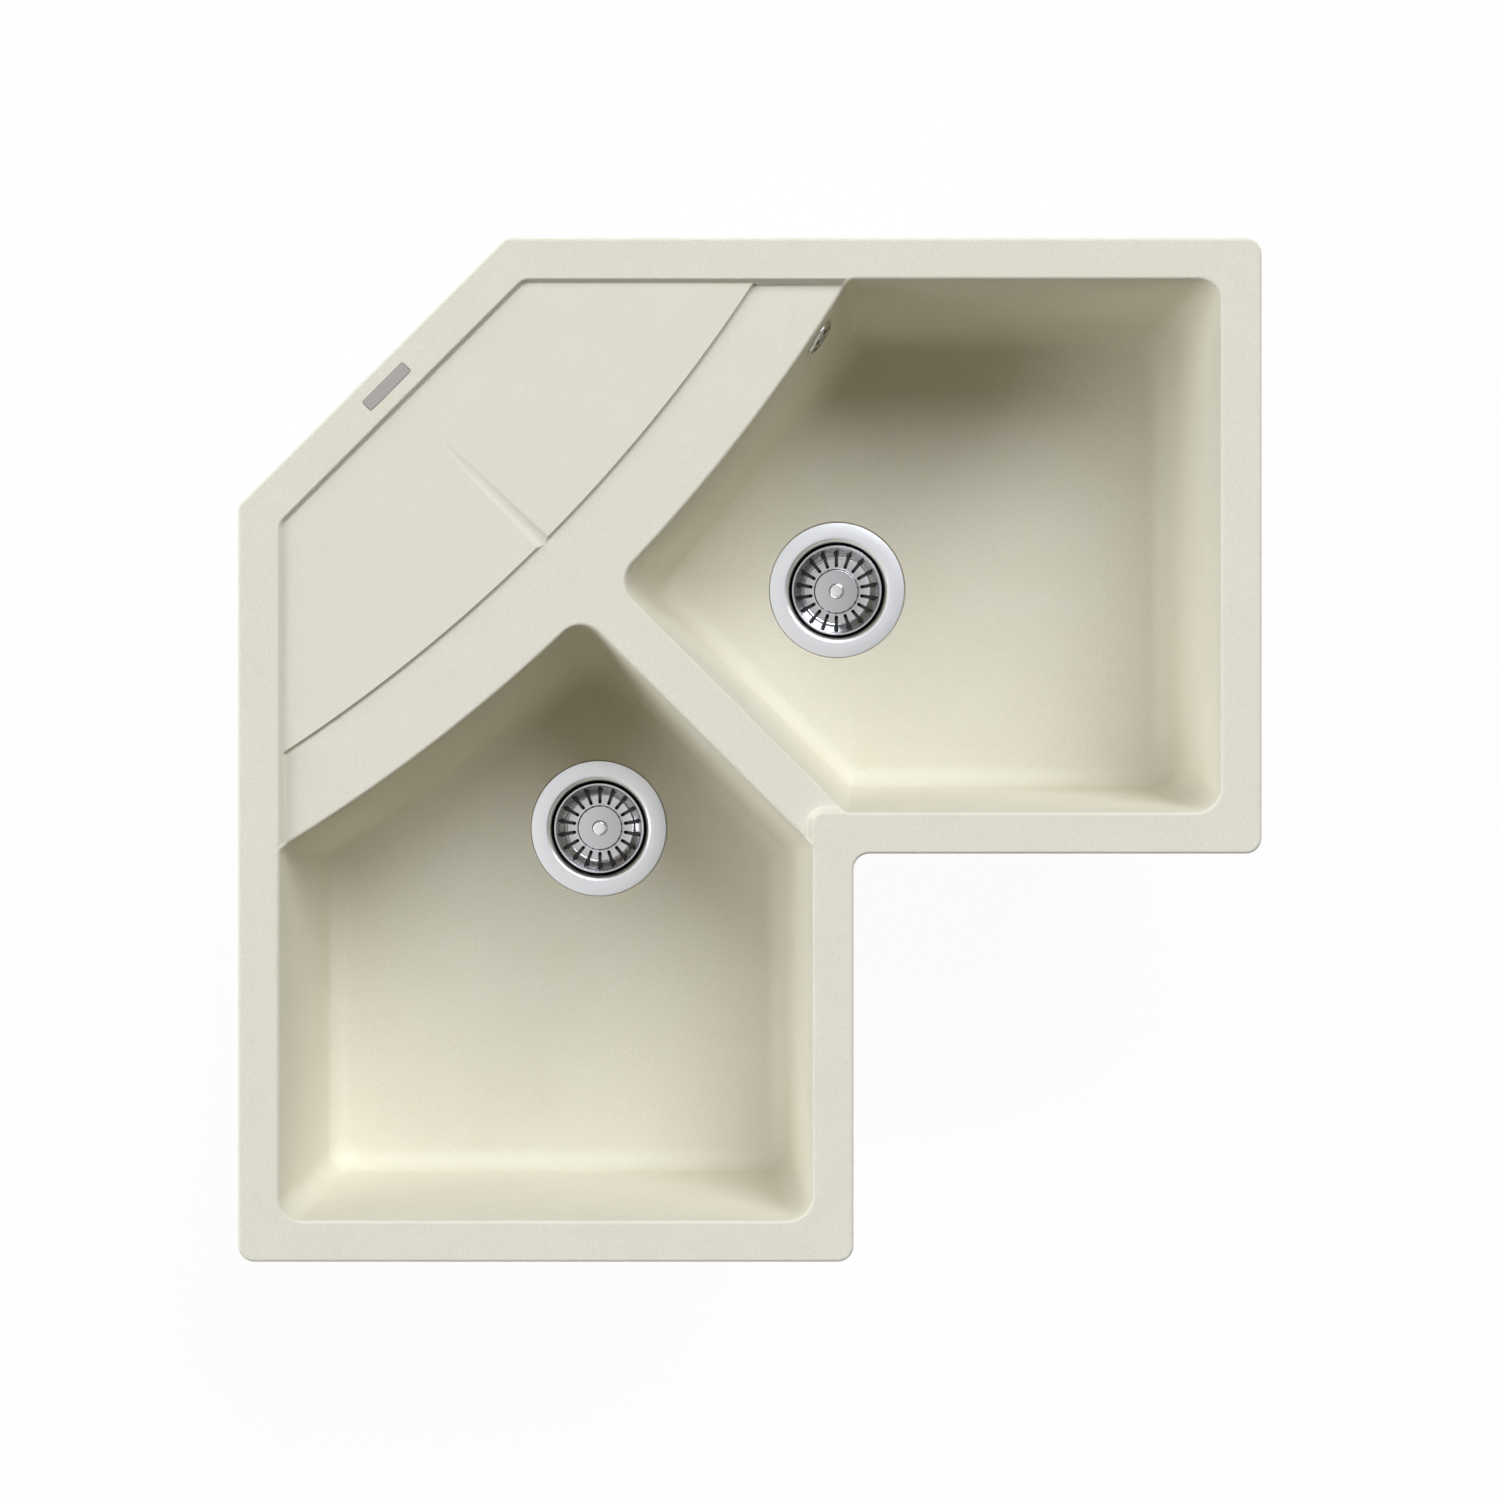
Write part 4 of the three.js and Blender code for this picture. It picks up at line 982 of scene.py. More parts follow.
def bowl_rows(mirrored, waste, levels, rounds):
    """Rows of a bowl from its top edge to the outside under the deck. Each row is the outline moved inwards
    and lowered: round the top edge, down the leaning wall, round the foot, in to the waste's recess and
    hole, then back out underneath and up the outside."""
    def row(inset, heights):
        return raised(sampled(bowl_outline(inset, mirrored), rounds), heights)

    def circle(like, radius, height):
        away = like[:, :2] - waste
        return raised(waste + away * (radius / np.linalg.norm(away, axis=1))[:, None], height)

    def between(a, b, count):
        return [a + (b - a) * t for t in np.linspace(0, 1, count + 2)[1:-1]]

    def fillet(radius, offset):
        turns = np.radians(np.linspace(0, 90, 10))
        insets = wall_lean - offset + radius * (1 - np.cos(turns))
        return [row(*stage) for stage in zip(insets, foot_level + floor_fillet - radius * np.sin(turns))]

    edge = [row(-inside, levels - below) for inside, below in rounded_edge(bowl_edge, 8)]
    foot = fillet(floor_fillet, 0.0)
    recess = flange_radius + recess_clearance
    recess_floor = floor_level - recess_depth
    pad = circle(foot[-1], recess + recess_margin, floor_level)
    stages = [(recess + recess_chamfer, floor_level), (recess, floor_level - recess_chamfer),
              (recess, recess_floor), (hole_radius, recess_floor), (hole_radius, floor_under)]
    hole = [circle(pad, radius, height) for radius, height in stages]
    outer_foot = fillet(floor_fillet + shell, shell)[::-1]
    outer_pad = circle(outer_foot[0], recess + recess_margin, floor_under)
    top_outside = row(-shell, pan_under)
    wall = between(edge[-1], foot[0], 3)
    outer_wall = between(outer_foot[-1], top_outside, 2)
    return (edge + wall + foot + between(foot[-1], pad, 5) + [pad] + hole + [outer_pad]
            + between(outer_pad, outer_foot[0], 3) + outer_foot + outer_wall + [top_outside])


def moulding():
    """The cast moulding: the deck as a height over a mesh that follows all its lines, the rim rolled over
    and under it, and each bowl as rows of outlines that share the deck's points."""
    closed, opened = deck_lines()
    spots, triangles = triangulated(closed, opened)
    boundary, *holes = closed[:3]
    triangles = trimmed(spots, triangles, boundary, holes)
    heights = deck_height(spots)
    points = [raised(spots, heights)]
    faces = triangles.tolist()
    count = len(spots)

    roll = [(inside, rim_height - below) for inside, below in rounded_edge(rim_edge, 7)]
    under = [(0.0, rim_underside + rim_chamfer), (rim_chamfer, rim_underside), (skirt_inset, rim_underside),
             (skirt_inset, pan_under)]
    rows = outline_rows(roll + under)
    points += rows
    faces += [face[::-1] for face in grid_faces(len(rows), len(boundary), close_columns=True, first=count)]
    count += len(rows) * len(boundary)

    shells = []
    for side, mirrored in (("right", False), ("left", True)):
        found, rounds = on_loop(spots, bowl_outline(-bowl_edge, mirrored))
        rows = bowl_rows(mirrored, wastes[side][:2], heights[found], rounds)
        points += rows
        faces += grid_faces(len(rows), len(found), close_columns=True, first=count)
        count += len(rows) * len(found)
        shells.append(rows[-1][:, :2])

    under_edge = outline(outer_shape, skirt_inset)
    spots, triangles = triangulated([under_edge, *shells], [])
    triangles = trimmed(spots, triangles, under_edge, shells)
    points.append(raised(spots, pan_under))
    faces += (triangles[:, ::-1] + count).tolist()
    whole = make_object("cast_moulding", (np.concatenate(points), faces), composite, smooth_angle=50.0)
    return carved(whole, rod(overflow_bore, -30.0, 10.0, 48, overflow_frame), smooth_angle=50.0)


def underside():
    """What stands under the deck: the skirt inside the cut-out, the ribs under the drainer, a boss for
    each clip, and the thick ring behind the overflow."""
    top = pan_under + overlap
    bottom = pan_under - skirt_depth
    inner = skirt_inset + skirt_width
    skirt = outline_rows([(inner, bottom), (skirt_inset, bottom), (skirt_inset, top), (inner, top)])
    parts = [ringed(skirt, closed=True)]
    for across in (-rib_spacing, 0.0, rib_spacing):
        near = arc_distance - np.sqrt(bowl_arc ** 2 - across ** 2) + shell / 2
        along = np.array([near, near, bevel_inner, bevel_inner])
        corners = diagonal(along, across + np.array([-1, 1, 1, -1]) * rib_width / 2)
        parts.append(prism(corners, pan_under - rib_depth, top))
    hole = clip_anchor_radius + seat_gap
    hole_top = boss_bottom + clip_anchor_length + seat_gap
    boss = [(0, hole_top, 0), (hole, hole_top, 0), (hole, boss_bottom, 0.3),
            (clip_boss_radius, boss_bottom, 1.0), (clip_boss_radius, top, 0), (0, top, 0)]
    parts += [spun(boss, place, 40) for place in clips.values()]
    parts.append(ring(overflow_bore, overflow_boss_radius, overflow_seat, overflow_boss_front, 0.6,
                      overflow_frame, 64))
    return make_object("moulded_underside", together(*parts), composite)


def rim_seal():
    """A flat strip of foam rubber that lies between the rim and the worktop."""
    low, high, edge = 0.0, rim_seal_thickness, 0.35
    near, far = rim_seal_inset, rim_seal_inset + rim_seal_width
    stages = [(far, low + edge), (far - edge, low), (near + edge, low), (near, low + edge),
              (near, high - edge), (near + edge, high), (far - edge, high), (far, high - edge)]
    return make_object("rim_seal_strip", ringed(outline_rows(stages), closed=True), seal_rubber)


def badge():
    """A blank metal plate in its recess: a rounded rectangle with a small bevel round its face."""
    low, high, edge = badge_low[2], badge_high[2], 0.2
    long, wide = badge_half - badge_gap
    shape = ([line(0, long), line(90, wide), line(180, long), line(270, wide)], [badge_corner] * 4)
    rows = outline_rows([(edge, low), (0, low + edge), (0, high - edge), (edge, high)], shape, 8)
    skin = ringed(rows, at(*badge_middle, 0, 45), capped=True)
    return make_object("blank_badge_plate", skin, badge_metal)


# ---------------------------------------------------------------- strainers, heights from the bowl's floor

def strainer_cup(side, place):
    """Pressed steel: a flange that falls outwards from its mouth, a straight cup, a dimple for the clamp
    screw and six drain holes round it."""
    wall = cup_wall
    bottom = -cup_depth
    dimple = bottom - dimple_depth
    hole = clamp_screw_radius + seat_gap
    section = [
        (hole, dimple - wall, 0), (dimple_radius + wall, dimple - wall, 1.4),
        (dimple_radius + wall, bottom - wall, 0.8),
        (cup_radius + wall, bottom - wall, cup_bottom_radius + wall),
        (cup_radius + wall, flange_stand - wall, cup_mouth_radius - wall),
        (flange_radius, flange_stand - wall, 0.25), (flange_radius, flange_stand - flange_fall, 0.3),
        (cup_radius, flange_stand + flange_crown, cup_mouth_radius), (cup_radius, bottom, cup_bottom_radius),
        (dimple_radius, bottom, 0.9), (dimple_radius, dimple, 1.2), (hole, dimple, 0),
    ]
    skin = spun(section, place, 128, closed=True, steps=7)
    cup = make_object(f"{side}_strainer_cup_fine", skin, flange_steel)
    carved(cup, rods_round(drain_holes, drain_ring, drain_hole_radius, bottom - 3, bottom + 3, place))
    return mark_rings(cup, place)


def slot_outline():
    """A slot with round ends, along +X."""
    half = basket_slot_width / 2
    turns = np.radians(np.linspace(-90, 90, 9))
    far = np.stack([basket_slot_end - half + half * np.cos(turns), half * np.sin(turns)], 1)
    near = np.stack([basket_slot_start + half - half * np.cos(turns), -half * np.sin(turns)], 1)
    return np.concatenate([far, near])


def basket(side, place):
    """Pressed from thin polished sheet: a raised middle, a floor and a flared wall with a rolled rim, and
    slots that run from the floor up into the wall."""
    wall = basket_wall
    floor = -basket_depth
    raised_floor = floor + basket_centre_rise
    rim = -basket_rim_drop
    hole = stem_radius + seat_gap
    section = [
        (hole, raised_floor - wall, 0), (basket_centre_radius - 0.6, raised_floor - wall, 0.8),
        (basket_centre_radius + 0.6, floor - wall, 0.8), (basket_foot_radius - 0.5, floor - wall, 4.0),
        (basket_radius - 1.2, rim - wall, 0.7), (basket_radius, rim - wall, 0.25), (basket_radius, rim, 0.35),
        (basket_radius - 1.7, rim, 0.6), (basket_foot_radius - 1.1, floor, 3.3),
        (basket_centre_radius + 1.0, floor, 0.7), (basket_centre_radius, raised_floor, 0.6),
        (hole, raised_floor, 0),
    ]
    skin = spun(section, place, 144, closed=True, steps=6)
    bowl = make_object(f"{side}_basket_fine", skin, basket_steel)
    turns = [basket_turn + 360 * k / basket_slots for k in range(basket_slots)]
    slots = [prism(slot_outline(), floor - 3, 0, place @ at(0, 0, 0, degrees)) for degrees in turns]
    carved(bowl, together(*slots), smooth_angle=30.0)
    return mark_rings(bowl, place)


def basket_plug(side, place):
    """A rubber plug under the basket, thin at its edge so that it seals."""
    low = plug_bottom
    hole = stem_radius + seat_gap
    section = [
        (hole, low, 0), (plug_radius, low, 0.8), (plug_radius, low + plug_lip, 0.9),
        (plug_hub, low + plug_shoulder, 1.2), (plug_hub, basket_under, 0.6), (hole, basket_under, 0),
    ]
    return make_object(f"{side}_plug_fine", spun(section, place, closed=True), plug_rubber)


def basket_knob(side, place):
    """A turned and chromed knob: a collar on the basket, a waisted neck and a round-edged cap, in one with
    its stem."""
    low = plug_bottom - retainer_thickness
    seat = -basket_depth + basket_centre_rise + seat_gap
    top = seat + knob_height
    section = [
        (0, low, 0), (stem_radius, low, 0.4), (stem_radius, seat, 0), (knob_collar, seat, 0.25),
        (knob_collar, seat + 1.0, 0.4), (knob_neck, seat + 2.0, 0.9), (knob_neck, top - 4.4, 1.2),
        (knob_radius, top - 3.4, 0.8), (knob_radius, top, 2.0), (0, top, 0),
    ]
    return make_object(f"{side}_knob_fine", spun(section, place, 72, steps=8), knob_chrome)


def plug_retainer(side, place):
    """The nut that holds the plug on the knob's stem."""
    top = plug_bottom - seat_gap
    nut = ring(stem_radius + seat_gap, retainer_radius, top - retainer_thickness, top, 0.4, place, 48)
    return make_object(f"{side}_retainer_fine", nut, knob_chrome)


def clamp_screw(side, place):
    """A pan-headed screw with a slot, threaded below its head."""
    pitch, thread, sides = 1.0, 0.45, 32
    slot_width, slot_depth = 1.2, 1.3
    tip, tip_shoulder = 2.2, 2.6
    head = -cup_depth - dimple_depth + seat_gap
    low = head - clamp_screw_length
    top = head + clamp_head_height
    pan = [(clamp_screw_radius, head - 0.6, 0), (clamp_screw_radius, head, 0), (clamp_head_radius, head, 0.3),
           (clamp_head_radius, top, 1.6), (0, top, 0)]
    rows = np.concatenate([
        turned([[0, low], [tip, low], [tip_shoulder, low + 0.6]], sides),
        threaded(clamp_screw_radius, low + 0.8, head - 1.0, pitch, thread, sides),
        turned(eased(pan, closed=False), sides),
    ])
    screw = make_object(f"{side}_clamp_screw_fine", ringed(rows, place), screw_steel)
    slot = rectangle(clamp_head_radius + 1, slot_width / 2)
    return carved(screw, prism(slot, top - slot_depth, top + 1, place))


def housing(side, place):
    """The plastic housing: a chamber that narrows to a threaded outlet, a flange under the sink's floor,
    and on the right an opening for the overflow's inlet."""
    wall = housing_wall
    top = floor_under - floor_level - floor_seal_thickness - 2 * seat_gap
    cone = -housing_depth - housing_cone
    end = cone - outlet_length
    inside = housing_radius - wall
    flange_under = top - housing_flange_thickness
    mouth = [(outlet_bore, end, 0), (outlet_radius - 0.8, end, 0.3), (outlet_radius, end + 0.9, 0.3),
             (outlet_radius, end + 1.2, 0)]
    chamber = [
        (outlet_radius, cone - 2.0, 0), (outlet_radius, cone, 2.0), (housing_radius, -housing_depth, 6.0),
        (housing_radius, flange_under, 2.0), (housing_flange_radius, flange_under, 0.8),
        (housing_flange_radius, top, 0.6), (inside, top, 0.6), (inside, -housing_depth + wall, 4.0),
        (outlet_bore, cone + wall, 2.0), (outlet_bore, end + 3.0, 0),
    ]
    rows = np.concatenate([
        turned(eased(mouth, closed=False)),
        threaded(outlet_radius, end + 1.4, cone - 3.0, outlet_pitch, outlet_thread),
        turned(eased(chamber, closed=False)),
    ])
    piece = make_object(f"{side}_waste_housing_fine", ringed(rows, place, closed=True), waste_plastic)
    if side == "right":
        carved(piece, rod(spigot_bore, inside - wall, housing_radius + 1, 40, inlet_frame))
    return piece


def spider(side, place):
    """Three ribs across the housing, cut aslant below where they meet its wall, and a round boss in the
    middle that holds the brass insert in a blind hole."""
    slant_start, slant_rise = 41.0, 3.5
    hole = insert_radius + seat_gap
    hole_low = -cup_depth - dimple_depth - clamp_screw_length
    boss_low = hole_low - insert_hole_floor
    boss = [(0, boss_low, 0), (spider_boss_radius, boss_low, 0.8), (spider_boss_radius, spider_top, 0.5),
            (hole, spider_top, 0.3), (hole, hole_low, 0), (0, hole_low, 0)]
    top = spider_top - 1.5
    low = top - spider_rib_depth
    near = spider_boss_radius - overlap
    reach = housing_radius - housing_wall / 2
    rib = [(near, low), (slant_start, low), (reach, low + slant_rise), (reach, top), (near, top)]
    upright = np.eye(4)
    upright[:3, :3] = [[1, 0, 0], [0, 0, -1], [0, 1, 0]]
    half = spider_rib_width / 2
    ribs = [prism(rib, -half, half, place @ at(0, 0, 0, degrees) @ upright) for degrees in (0, 120, 240)]
    return make_object(f"{side}_housing_spider", together(spun(boss, place, 48), *ribs), waste_plastic)


def flange_seal(side, place):
    top = flange_stand - cup_wall - seat_gap
    inner, outer = hole_radius + flange_seal_gap, flange_radius - flange_seal_inset
    seal = ring(inner, outer, top - flange_seal_thickness, top, 0.3, place)
    return make_object(f"{side}_flange_seal_fine", seal, seal_rubber)


def floor_seal(side, place):
    top = floor_under - floor_level - seat_gap
    inner = hole_radius + floor_seal_gap
    seal = ring(inner, inner + floor_seal_width, top - floor_seal_thickness, top, 0.6, place)
    return make_object(f"{side}_floor_seal_fine", seal, seal_rubber)


def insert(side, place):
    top = spider_top - seat_gap
    sleeve = ring(clamp_screw_radius + seat_gap, insert_radius, top - insert_length, top, 0.3, place, 32)
    return make_object(f"{side}_insert_fine", sleeve, brass)


def strainer(side):
    """Everything round one waste hole, each piece with its body, its finish and its CAD node."""
    place = at(*wastes[side][:2], floor_level)
    unit = f"{side}_basket_unit"
    for make, body, slot, *nodes in (
        (strainer_cup, "sink", "flange_steel", "strainer_cup"),
        (basket, unit, "basket_steel", "basket"),
        (basket_plug, unit, "plug_rubber", "basket_plug"),
        (basket_knob, unit, "knob_chrome", "basket_knob"),
        (plug_retainer, unit, "knob_chrome", "plug_retainer"),
        (clamp_screw, "sink", "screw_steel", "clamp_screw"),
        (housing, "sink", "waste_plastic", "waste_housing"),
        (spider, "sink", "waste_plastic"),
        (flange_seal, "sink", "seal_rubber", "flange_seal"),
        (floor_seal, "sink", "seal_rubber", "floor_seal"),
        (insert, "sink", "brass", "housing_insert"),
    ):
        stand(make(side, place), body, slot, *[f"{side}_{node}" for node in nodes])


# ---------------------------------------------------------------- overflow

def overflow_cover():
    """A chromed rose: a low dome with six round holes and a countersunk seat for its screw."""
    low = seat_gap
    top = low + cover_rise
    dome = [(0, low, 0), (cover_radius, low, 0.2), (cover_radius, low + 1.0, 0.6),
            (cover_radius - 5.0, top, 18.0), (0, top, 0)]
    rose = make_object("overflow_rose", spun(dome, overflow_frame, steps=8), cover_chrome)
    holes = rods_round(6, cover_hole_ring, cover_hole_radius, -1.0, top + 1, overflow_frame)
    shank = cover_screw_radius + seat_gap
    head = cover_head_radius + seat_gap
    seat = turned([[0, -1.0], [shank, -1.0], [shank, top - 2.0], [head, top - 0.6], [head, top + 1],
                   [0, top + 1]], 48)
    return carved(rose, together(holes, ringed(seat, overflow_frame)))


def overflow_screw():
    """A countersunk screw with a cross slot, from the cover back into the elbow."""
    top = 3.6
    slot_length, slot_width, slot_depth = 4.4, 0.9, 1.1
    section = [(0, chamber_middle, 0), (cover_screw_radius, chamber_middle, 0.4),
               (cover_screw_radius, top - 2.0, 0), (cover_head_radius, top - 0.6, 0.2),
               (cover_head_radius, top, 0.35), (0, top, 0)]
    screw = make_object("overflow_rose_screw", spun(section, overflow_frame, 48), screw_steel)
    arm = rectangle(slot_length / 2, slot_width / 2)
    for degrees in (20, 110):
        carved(screw, prism(arm, top - slot_depth, top + 1, overflow_frame @ at(0, 0, 0, degrees)))
    return screw


def overflow_elbow():
    """The rear elbow: a round chamber on a flange behind the wall, with a post for the cover's screw and a
    threaded spigot down."""
    front = chamber_middle + elbow_depth / 2
    back = front - elbow_depth
    flange = front - elbow_wall
    section = [
        (0, back - elbow_wall, 0), (elbow_radius, back - elbow_wall, 3.0), (elbow_radius, flange, 1.0),
        (overflow_boss_radius, flange, 0.6), (overflow_boss_radius, front, 0.6), (overflow_bore, front, 0.5),
        (overflow_bore, back, 1.5), (0, back, 0),
    ]
    chamber = spun(section, overflow_frame, 64)
    screw_hole = cover_screw_radius + seat_gap
    post = ring(screw_hole, cover_post_radius, back - overlap, front, 0.4, overflow_frame, 32)
    x, y, z = chamber_spot
    thread_end = elbow_end + elbow_thread_length
    spigot = np.concatenate([
        turned([[spigot_bore, z], [spigot_bore, elbow_end], [spigot_radius - spigot_chamfer, elbow_end],
                [spigot_radius, elbow_end + spigot_chamfer]], 48),
        threaded(spigot_radius, elbow_end + 0.8, thread_end, spigot_pitch, spigot_thread, 48),
        turned([[spigot_radius, thread_end + 0.5], [spigot_radius, z]], 48),
    ])
    parts = together(chamber, post, ringed(spigot, at(x, y), closed=True))
    return make_object("overflow_elbow_fine", parts, waste_plastic)


def inlet():
    """The spigot on the right housing that the overflow pipe is screwed to."""
    start = housing_radius - housing_wall / 2
    thread_start = inlet_end - inlet_thread_length
    rows = np.concatenate([
        turned([[spigot_bore, start], [spigot_radius, start], [spigot_radius, thread_start - 0.5]], 48),
        threaded(spigot_radius, thread_start, inlet_end - 0.8, spigot_pitch, spigot_thread, 48),
        turned([[spigot_radius - spigot_chamfer, inlet_end], [spigot_bore, inlet_end]], 48),
    ])
    return make_object("housing_inlet", ringed(rows, inlet_frame, closed=True), waste_plastic)


def pipe_route():
    """The pipe's middle line, as its distance out from the waste and its height: straight down from the
    elbow, a parabola that touches both straight runs, and in to the inlet."""
    out, end = inlet_length, inlet_end + seat_gap
    high, low = inlet_height + pipe_bend, inlet_height
    drop = np.linspace(elbow_end - seat_gap, high, 8)[:, None]
    t = np.linspace(0, 1, 25)[1:, None]
    corner = (1 - t) ** 2 * [out, high] + 2 * t * (1 - t) * [out, low] + t ** 2 * [out - pipe_bend, low]
    last = np.array([[(out - pipe_bend + end) / 2, low], [end, low]])
    return np.concatenate([np.concatenate([np.full_like(drop, out), drop], 1), corner, last])


def overflow_pipe():
    """A round pipe along its route, with its bore."""
    route = pipe_route()
    ahead = np.gradient(route, axis=0)
    ahead = ahead / np.linalg.norm(ahead, axis=1)[:, None]
    ahead[-1] = [-1, 0]
    sideways = np.array([-inlet_way[1], inlet_way[0], 0])
    outwards = np.array([*inlet_way, 0])
    up = np.array([0, 0, 1.0])
    middle = route[:, :1] * outwards + route[:, 1:] * up + [*wastes["right"][:2], 0]
    normal = ahead[:, 1:] * outwards - ahead[:, :1] * up
    turns = around(40)[None, :, None]

    def skin(radius):
        return middle[:, None] + radius * (np.cos(turns) * normal[:, None] + np.sin(turns) * sideways)

    rows = np.concatenate([skin(pipe_radius)[::-1], skin(pipe_radius - pipe_wall)])
    return make_object("overflow_pipe_fine", ringed(rows, closed=True), waste_plastic)


def union_nut(name, place):
    """A union nut with rounded grips: its outside swells and narrows ten times a turn."""
    sides = 120
    thread = spigot_radius + seat_gap
    neck = pipe_radius + seat_gap
    low = nut_lip - nut_length
    section = [(thread, low, 0), (nut_radius, low, 0.8), (nut_radius, nut_lip, 1.2), (neck, nut_lip, 0)]
    outside = turned(eased(section, closed=False, steps=5), sides)
    grip = 1 - nut_grip_depth * (1 - np.sqrt(np.abs(np.cos(nut_grips / 2 * around(sides)))))
    swell = np.linalg.norm(outside[..., :2], axis=2) > nut_radius - 1.5
    outside[..., :2] *= np.where(swell, grip[None], 1)[..., None]
    inside = turned([[neck, 0.0], [thread, 0.0]], sides)
    return make_object(name, ringed(np.concatenate([outside, inside]), place, closed=True), nut_plastic)


def overflow():
    """The overflow from its cover to the right waste's housing."""
    stand(overflow_cover(), "sink", "cover_chrome", "overflow_cover")
    stand(overflow_screw(), "sink", "screw_steel", "overflow_screw")
    top = overflow_seat - seat_gap
    inner = overflow_bore + gasket_inset
    gasket = ring(inner, inner + gasket_width, top - gasket_thickness, top, 0.5, overflow_frame, 64)
    stand(make_object("overflow_gasket_fine", gasket, seal_rubber), "sink", "seal_rubber", "overflow_gasket")
    stand(overflow_elbow(), "sink", "waste_plastic", "overflow_elbow")
    stand(inlet(), "sink", "waste_plastic")
    stand(overflow_pipe(), "sink", "waste_plastic", "overflow_pipe")
    upper = at(*chamber_spot[:2], elbow_end) @ np.diag([1.0, -1.0, -1.0, 1.0])
    lower = inlet_frame @ at(0, 0, inlet_end)
    for level, place in (("upper", upper), ("lower", lower)):
        nut = union_nut(f"overflow_{level}_nut_fine", place)
        stand(nut, "sink", "nut_plastic", f"overflow_{level}_nut")


# ---------------------------------------------------------------- clips, +X outwards from the sink

def clip_bracket(name, place):
    """A bent steel strip. Its width is carried along its middle line, which runs flat from a half-round
    heel and then turns up through an arc to the tip."""
    half, face, bend, soft = clip_strip_width / 2, clip_strip_thickness / 2, clip_bend_radius, 0.35
    middle = clip_strip_bottom + face
    top = clip_strip_bottom + clip_strip_thickness
    flat_end = clip_arm_length - face - bend
    heel = half * np.sin(np.radians(np.linspace(-90, 0, 13))[:-1])
    flat = np.concatenate([heel, np.linspace(0, flat_end, 6)])
    turns = np.radians(np.linspace(0, 90, 9)[1:])
    rise = np.linspace(middle + bend, top + clip_tip_height, 4)[1:]
    along = np.concatenate([flat, flat_end + bend * np.sin(turns), np.full(len(rise), flat_end + bend)])
    height = np.concatenate([np.full(len(flat), middle), middle + bend * (1 - np.cos(turns)), rise])
    tilt = np.concatenate([np.zeros(len(flat)), turns, np.full(len(rise), np.pi / 2)])[:, None]
    width = np.full(len(along), half)
    width[:len(heel)] = np.sqrt(np.clip(half ** 2 - heel ** 2, 0.02, None))
    section = eased([(*corner, soft) for corner in rectangle(half, face)], steps=2)
    across = section[:, 0] * (width / half)[:, None]
    through = section[:, 1]
    rows = np.stack([across, -along[:, None] + through * np.sin(tilt),
                     height[:, None] + through * np.cos(tilt)], -1)
    strip = make_object(name, ringed(rows, place, capped=True), zinc_steel)
    return carved(strip, rod(clip_screw_radius + seat_gap, clip_strip_bottom - 1, top + 1, 32, place))


def clip_screw(name, place):
    """A hexagon-headed screw, threaded along its whole shank."""
    pitch, thread, sides = 0.8, 0.35, 24
    low = clip_head_top - clip_head_height
    shank = np.concatenate([
        turned([[0, clip_head_top - 0.5], [clip_screw_radius, clip_head_top - 0.5]], sides),
        threaded(clip_screw_radius, clip_head_top, clip_screw_top - 0.8, pitch, thread, sides, 5),
        turned([[clip_screw_radius - 0.5, clip_screw_top], [0, clip_screw_top]], sides),
    ])
    hexagon = turned([[0, low], [clip_head_radius - 0.7, low], [clip_head_radius, low + 0.5],
                      [clip_head_radius, clip_head_top - 0.1], [clip_head_radius - 0.2, clip_head_top],
                      [0, clip_head_top]], 6)
    skin = together(ringed(shank, place), ringed(hexagon, place))
    return make_object(name, skin, screw_steel, smooth_angle=30.0)


def clip(name, place):
    """One clip: the anchor in its boss, the screw and the bracket that swings on it."""
    top = boss_bottom + clip_anchor_length
    anchor = ring(clip_screw_radius + seat_gap, clip_anchor_radius, boss_bottom, top, 0.35, place, 40)
    stand(make_object(f"anchor_{name}", anchor, brass), "sink", "brass", f"clip_anchor_{name}")
    stand(clip_screw(f"screw_{name}", place), "sink", "screw_steel", f"clip_screw_{name}")
    stand(clip_bracket(f"strip_{name}", place), f"bracket_{name}", "clip_steel", f"clip_bracket_{name}")


# ---------------------------------------------------------------- assembly

stand(moulding(), "sink", "cream_composite", "sink_body")
stand(underside(), "sink", "cream_composite")
stand(rim_seal(), "sink", "seal_rubber", "rim_seal")
stand(badge(), "sink", "badge_metal", "badge_plate")
for side in ("right", "left"):
    strainer(side)
overflow()
for name, place in clips.items():
    clip(name, place)


# ---------------------------------------------------------------- camera, light and floor

def linked(name, data):
    """A new object in the scene."""
    piece = bpy.data.objects.new(name, data)
    bpy.context.scene.collection.objects.link(piece)
    return piece


def towards(azimuth, elevation):
    """The direction of a place in the room, in degrees round from +X and up from level."""
    turn, rise = np.radians((azimuth, elevation))
    return np.cos(turn) * np.cos(rise), np.sin(turn) * np.cos(rise), np.sin(rise)


def window(name, azimuth, elevation, spread, power, colour):
    """A far soft light, from its direction, the angle it fills and its power on a square metre."""
    data = bpy.data.lights.new(name, "SUN")
    data.angle = np.radians(spread)
    data.energy = power
    data.color = linear(colour)[:3]
    shining = -Vector(towards(azimuth, elevation))
    linked(name, data).rotation_euler = shining.to_track_quat("-Z", "Y").to_euler()


def camera():
    """Straight above the middle, with the photograph's frame 1215.8 mm wide at the rim."""
    height = 2800.0
    framed = 1215.8
    data = bpy.data.cameras.new("camera")
    data.sensor_width = 36.0
    data.lens = data.sensor_width * height / framed
    lens = linked("camera", data)
    lens.location = (0, 0, (rim_height + height) * MM)
    bpy.context.scene.camera = lens


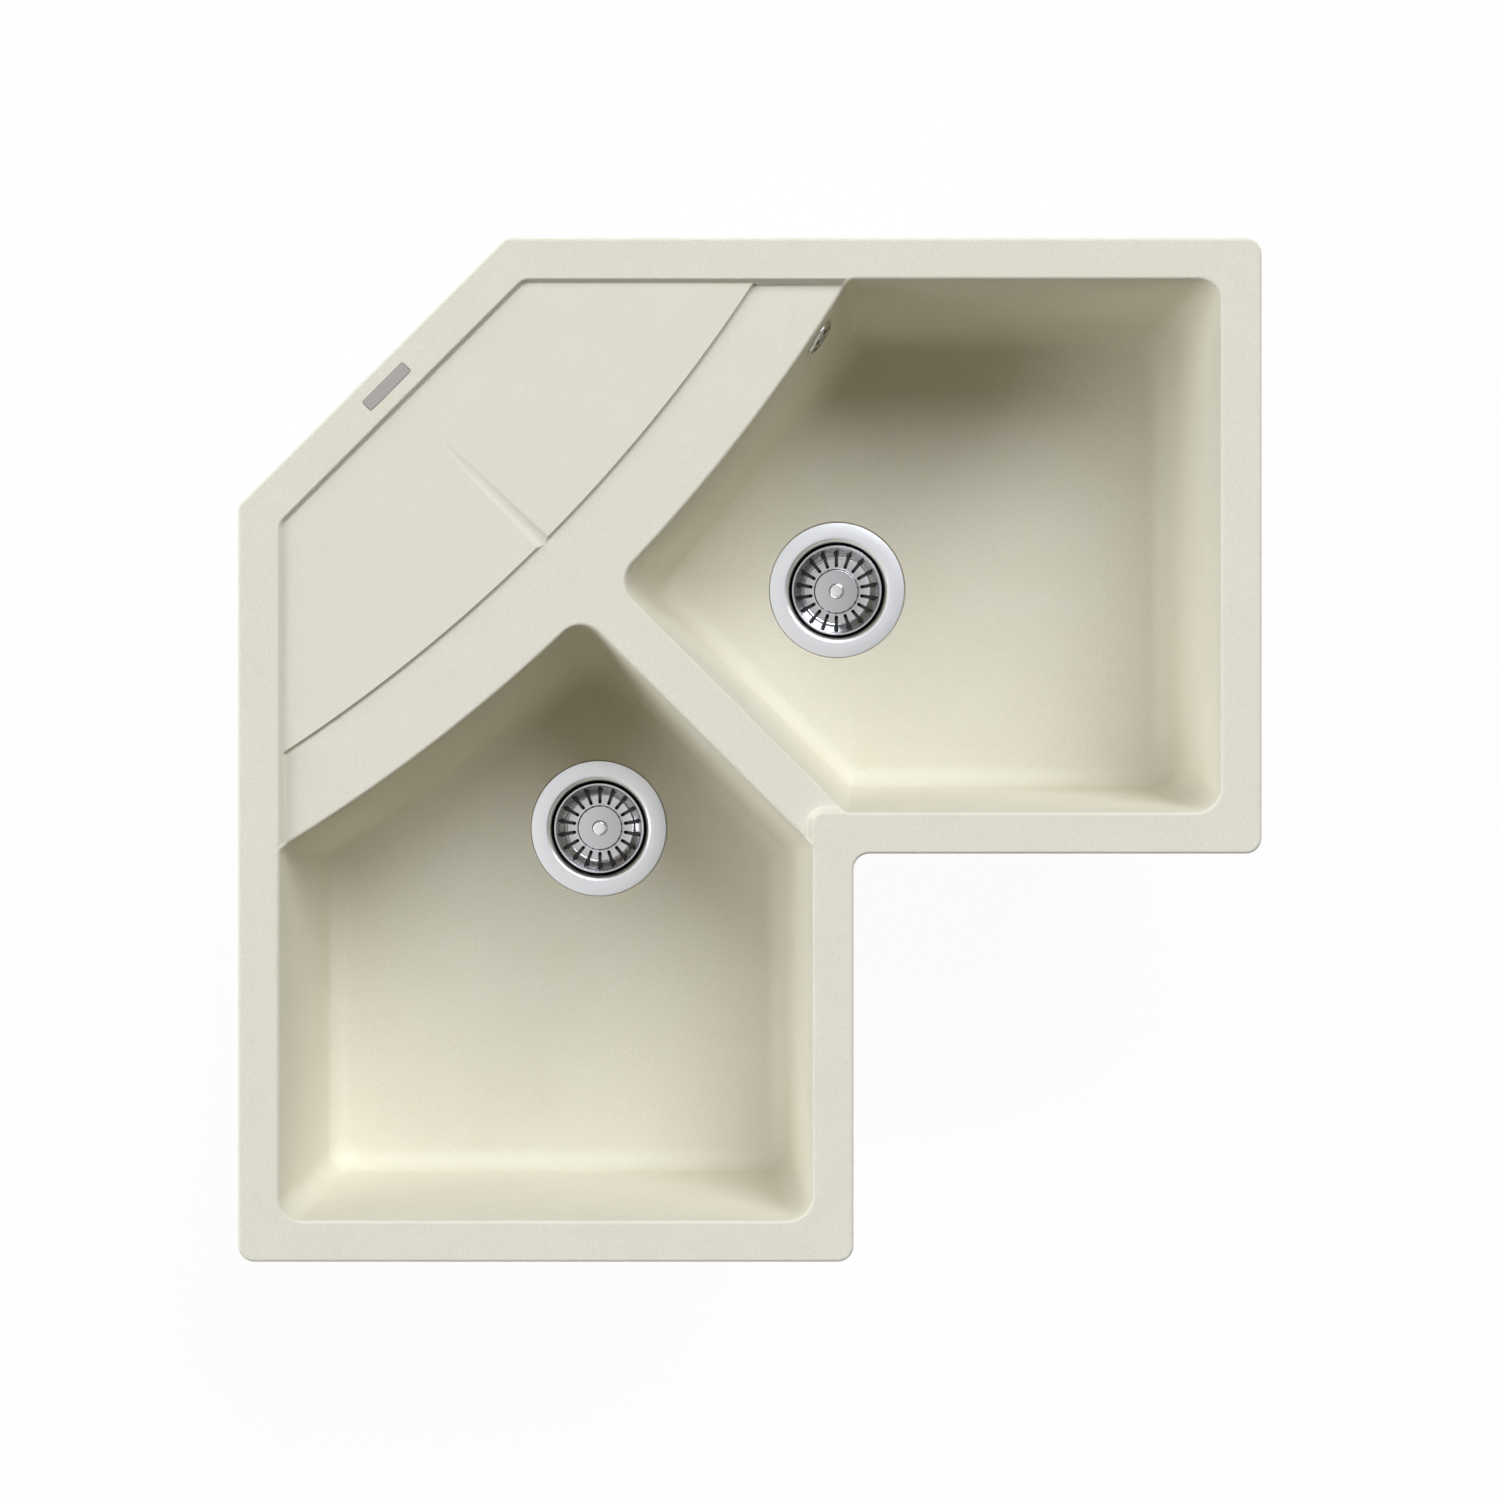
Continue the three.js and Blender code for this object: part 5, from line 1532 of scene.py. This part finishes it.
def seen_or_mirrored(tree):
    """One for the camera's own rays and for reflected and refracted ones, nought for scattered light."""
    rays = add(tree, "ShaderNodeLightPath").outputs
    gloss = math(tree, "MAXIMUM", rays["Is Glossy Ray"], rays["Is Transmission Ray"])
    return math(tree, "MAXIMUM", rays["Is Camera Ray"], gloss)


def stage_material():
    """Matte white paper. The camera and the metals see it close to pure white, with the shadow still on
    it."""
    whiteness = 0.96
    material, tree, shader = new_material("white_paper", "#f2f2f0", 0.9)
    seen = math(tree, "MULTIPLY", seen_or_mirrored(tree), whiteness)
    glow = add(tree, "ShaderNodeEmission", {"Color": (1, 1, 1, 1), "Strength": 1.0})
    mix = add(tree, "ShaderNodeMixShader", {0: seen, 1: shader.outputs[0], 2: glow.outputs[0]})
    feed(tree, tree.nodes["Material Output"], {"Surface": mix.outputs[0]})
    return material


def floor():
    """A wide sheet of paper a little below the outlets."""
    size = 6000.0
    level = cad_box[0][2] / MM - 2.0
    mesh = bpy.data.meshes.new("floor")
    corners = raised(rectangle(size, size), level) * MM
    mesh.from_pydata(corners.tolist(), [], [(0, 1, 2, 3)])
    mesh.materials.append(stage_material())
    ground = linked("floor", mesh)


def world():
    """A dim warm room for the light it scatters. What the metals mirror is brighter: white high up on the
    side window's side, grey everywhere else."""
    surroundings = bpy.data.worlds.new("studio")
    surroundings.use_nodes = True
    tree = surroundings.node_tree
    room = tree.nodes["Background"]
    feed(tree, room, {"Color": linear("#ffd48c"), "Strength": 0.04})
    way = add(tree, "ShaderNodeTexCoord").outputs["Generated"]
    facing_window = add(tree, "ShaderNodeVectorMath", {0: way, 1: towards(185, 60)}, operation="DOT_PRODUCT")
    bright = mapped(tree, facing_window.outputs["Value"], 0.2, 1.2, start=0.6, end=1.0)
    mirrored = add(tree, "ShaderNodeBackground", {"Color": (1, 1, 1, 1), "Strength": bright})
    shaders = {0: seen_or_mirrored(tree), 1: room.outputs[0], 2: mirrored.outputs[0]}
    mix = add(tree, "ShaderNodeMixShader", shaders)
    feed(tree, tree.nodes["World Output"], {"Surface": mix.outputs[0]})
    bpy.context.scene.world = surroundings


camera()
floor()
world()
window("tall_window", 62, 45, 40, 3.15, "#f2f7ff")
window("side_window", 180, 25, 40, 2.4, "#f2f7ff")
bpy.context.scene.view_settings.view_transform = "Standard"
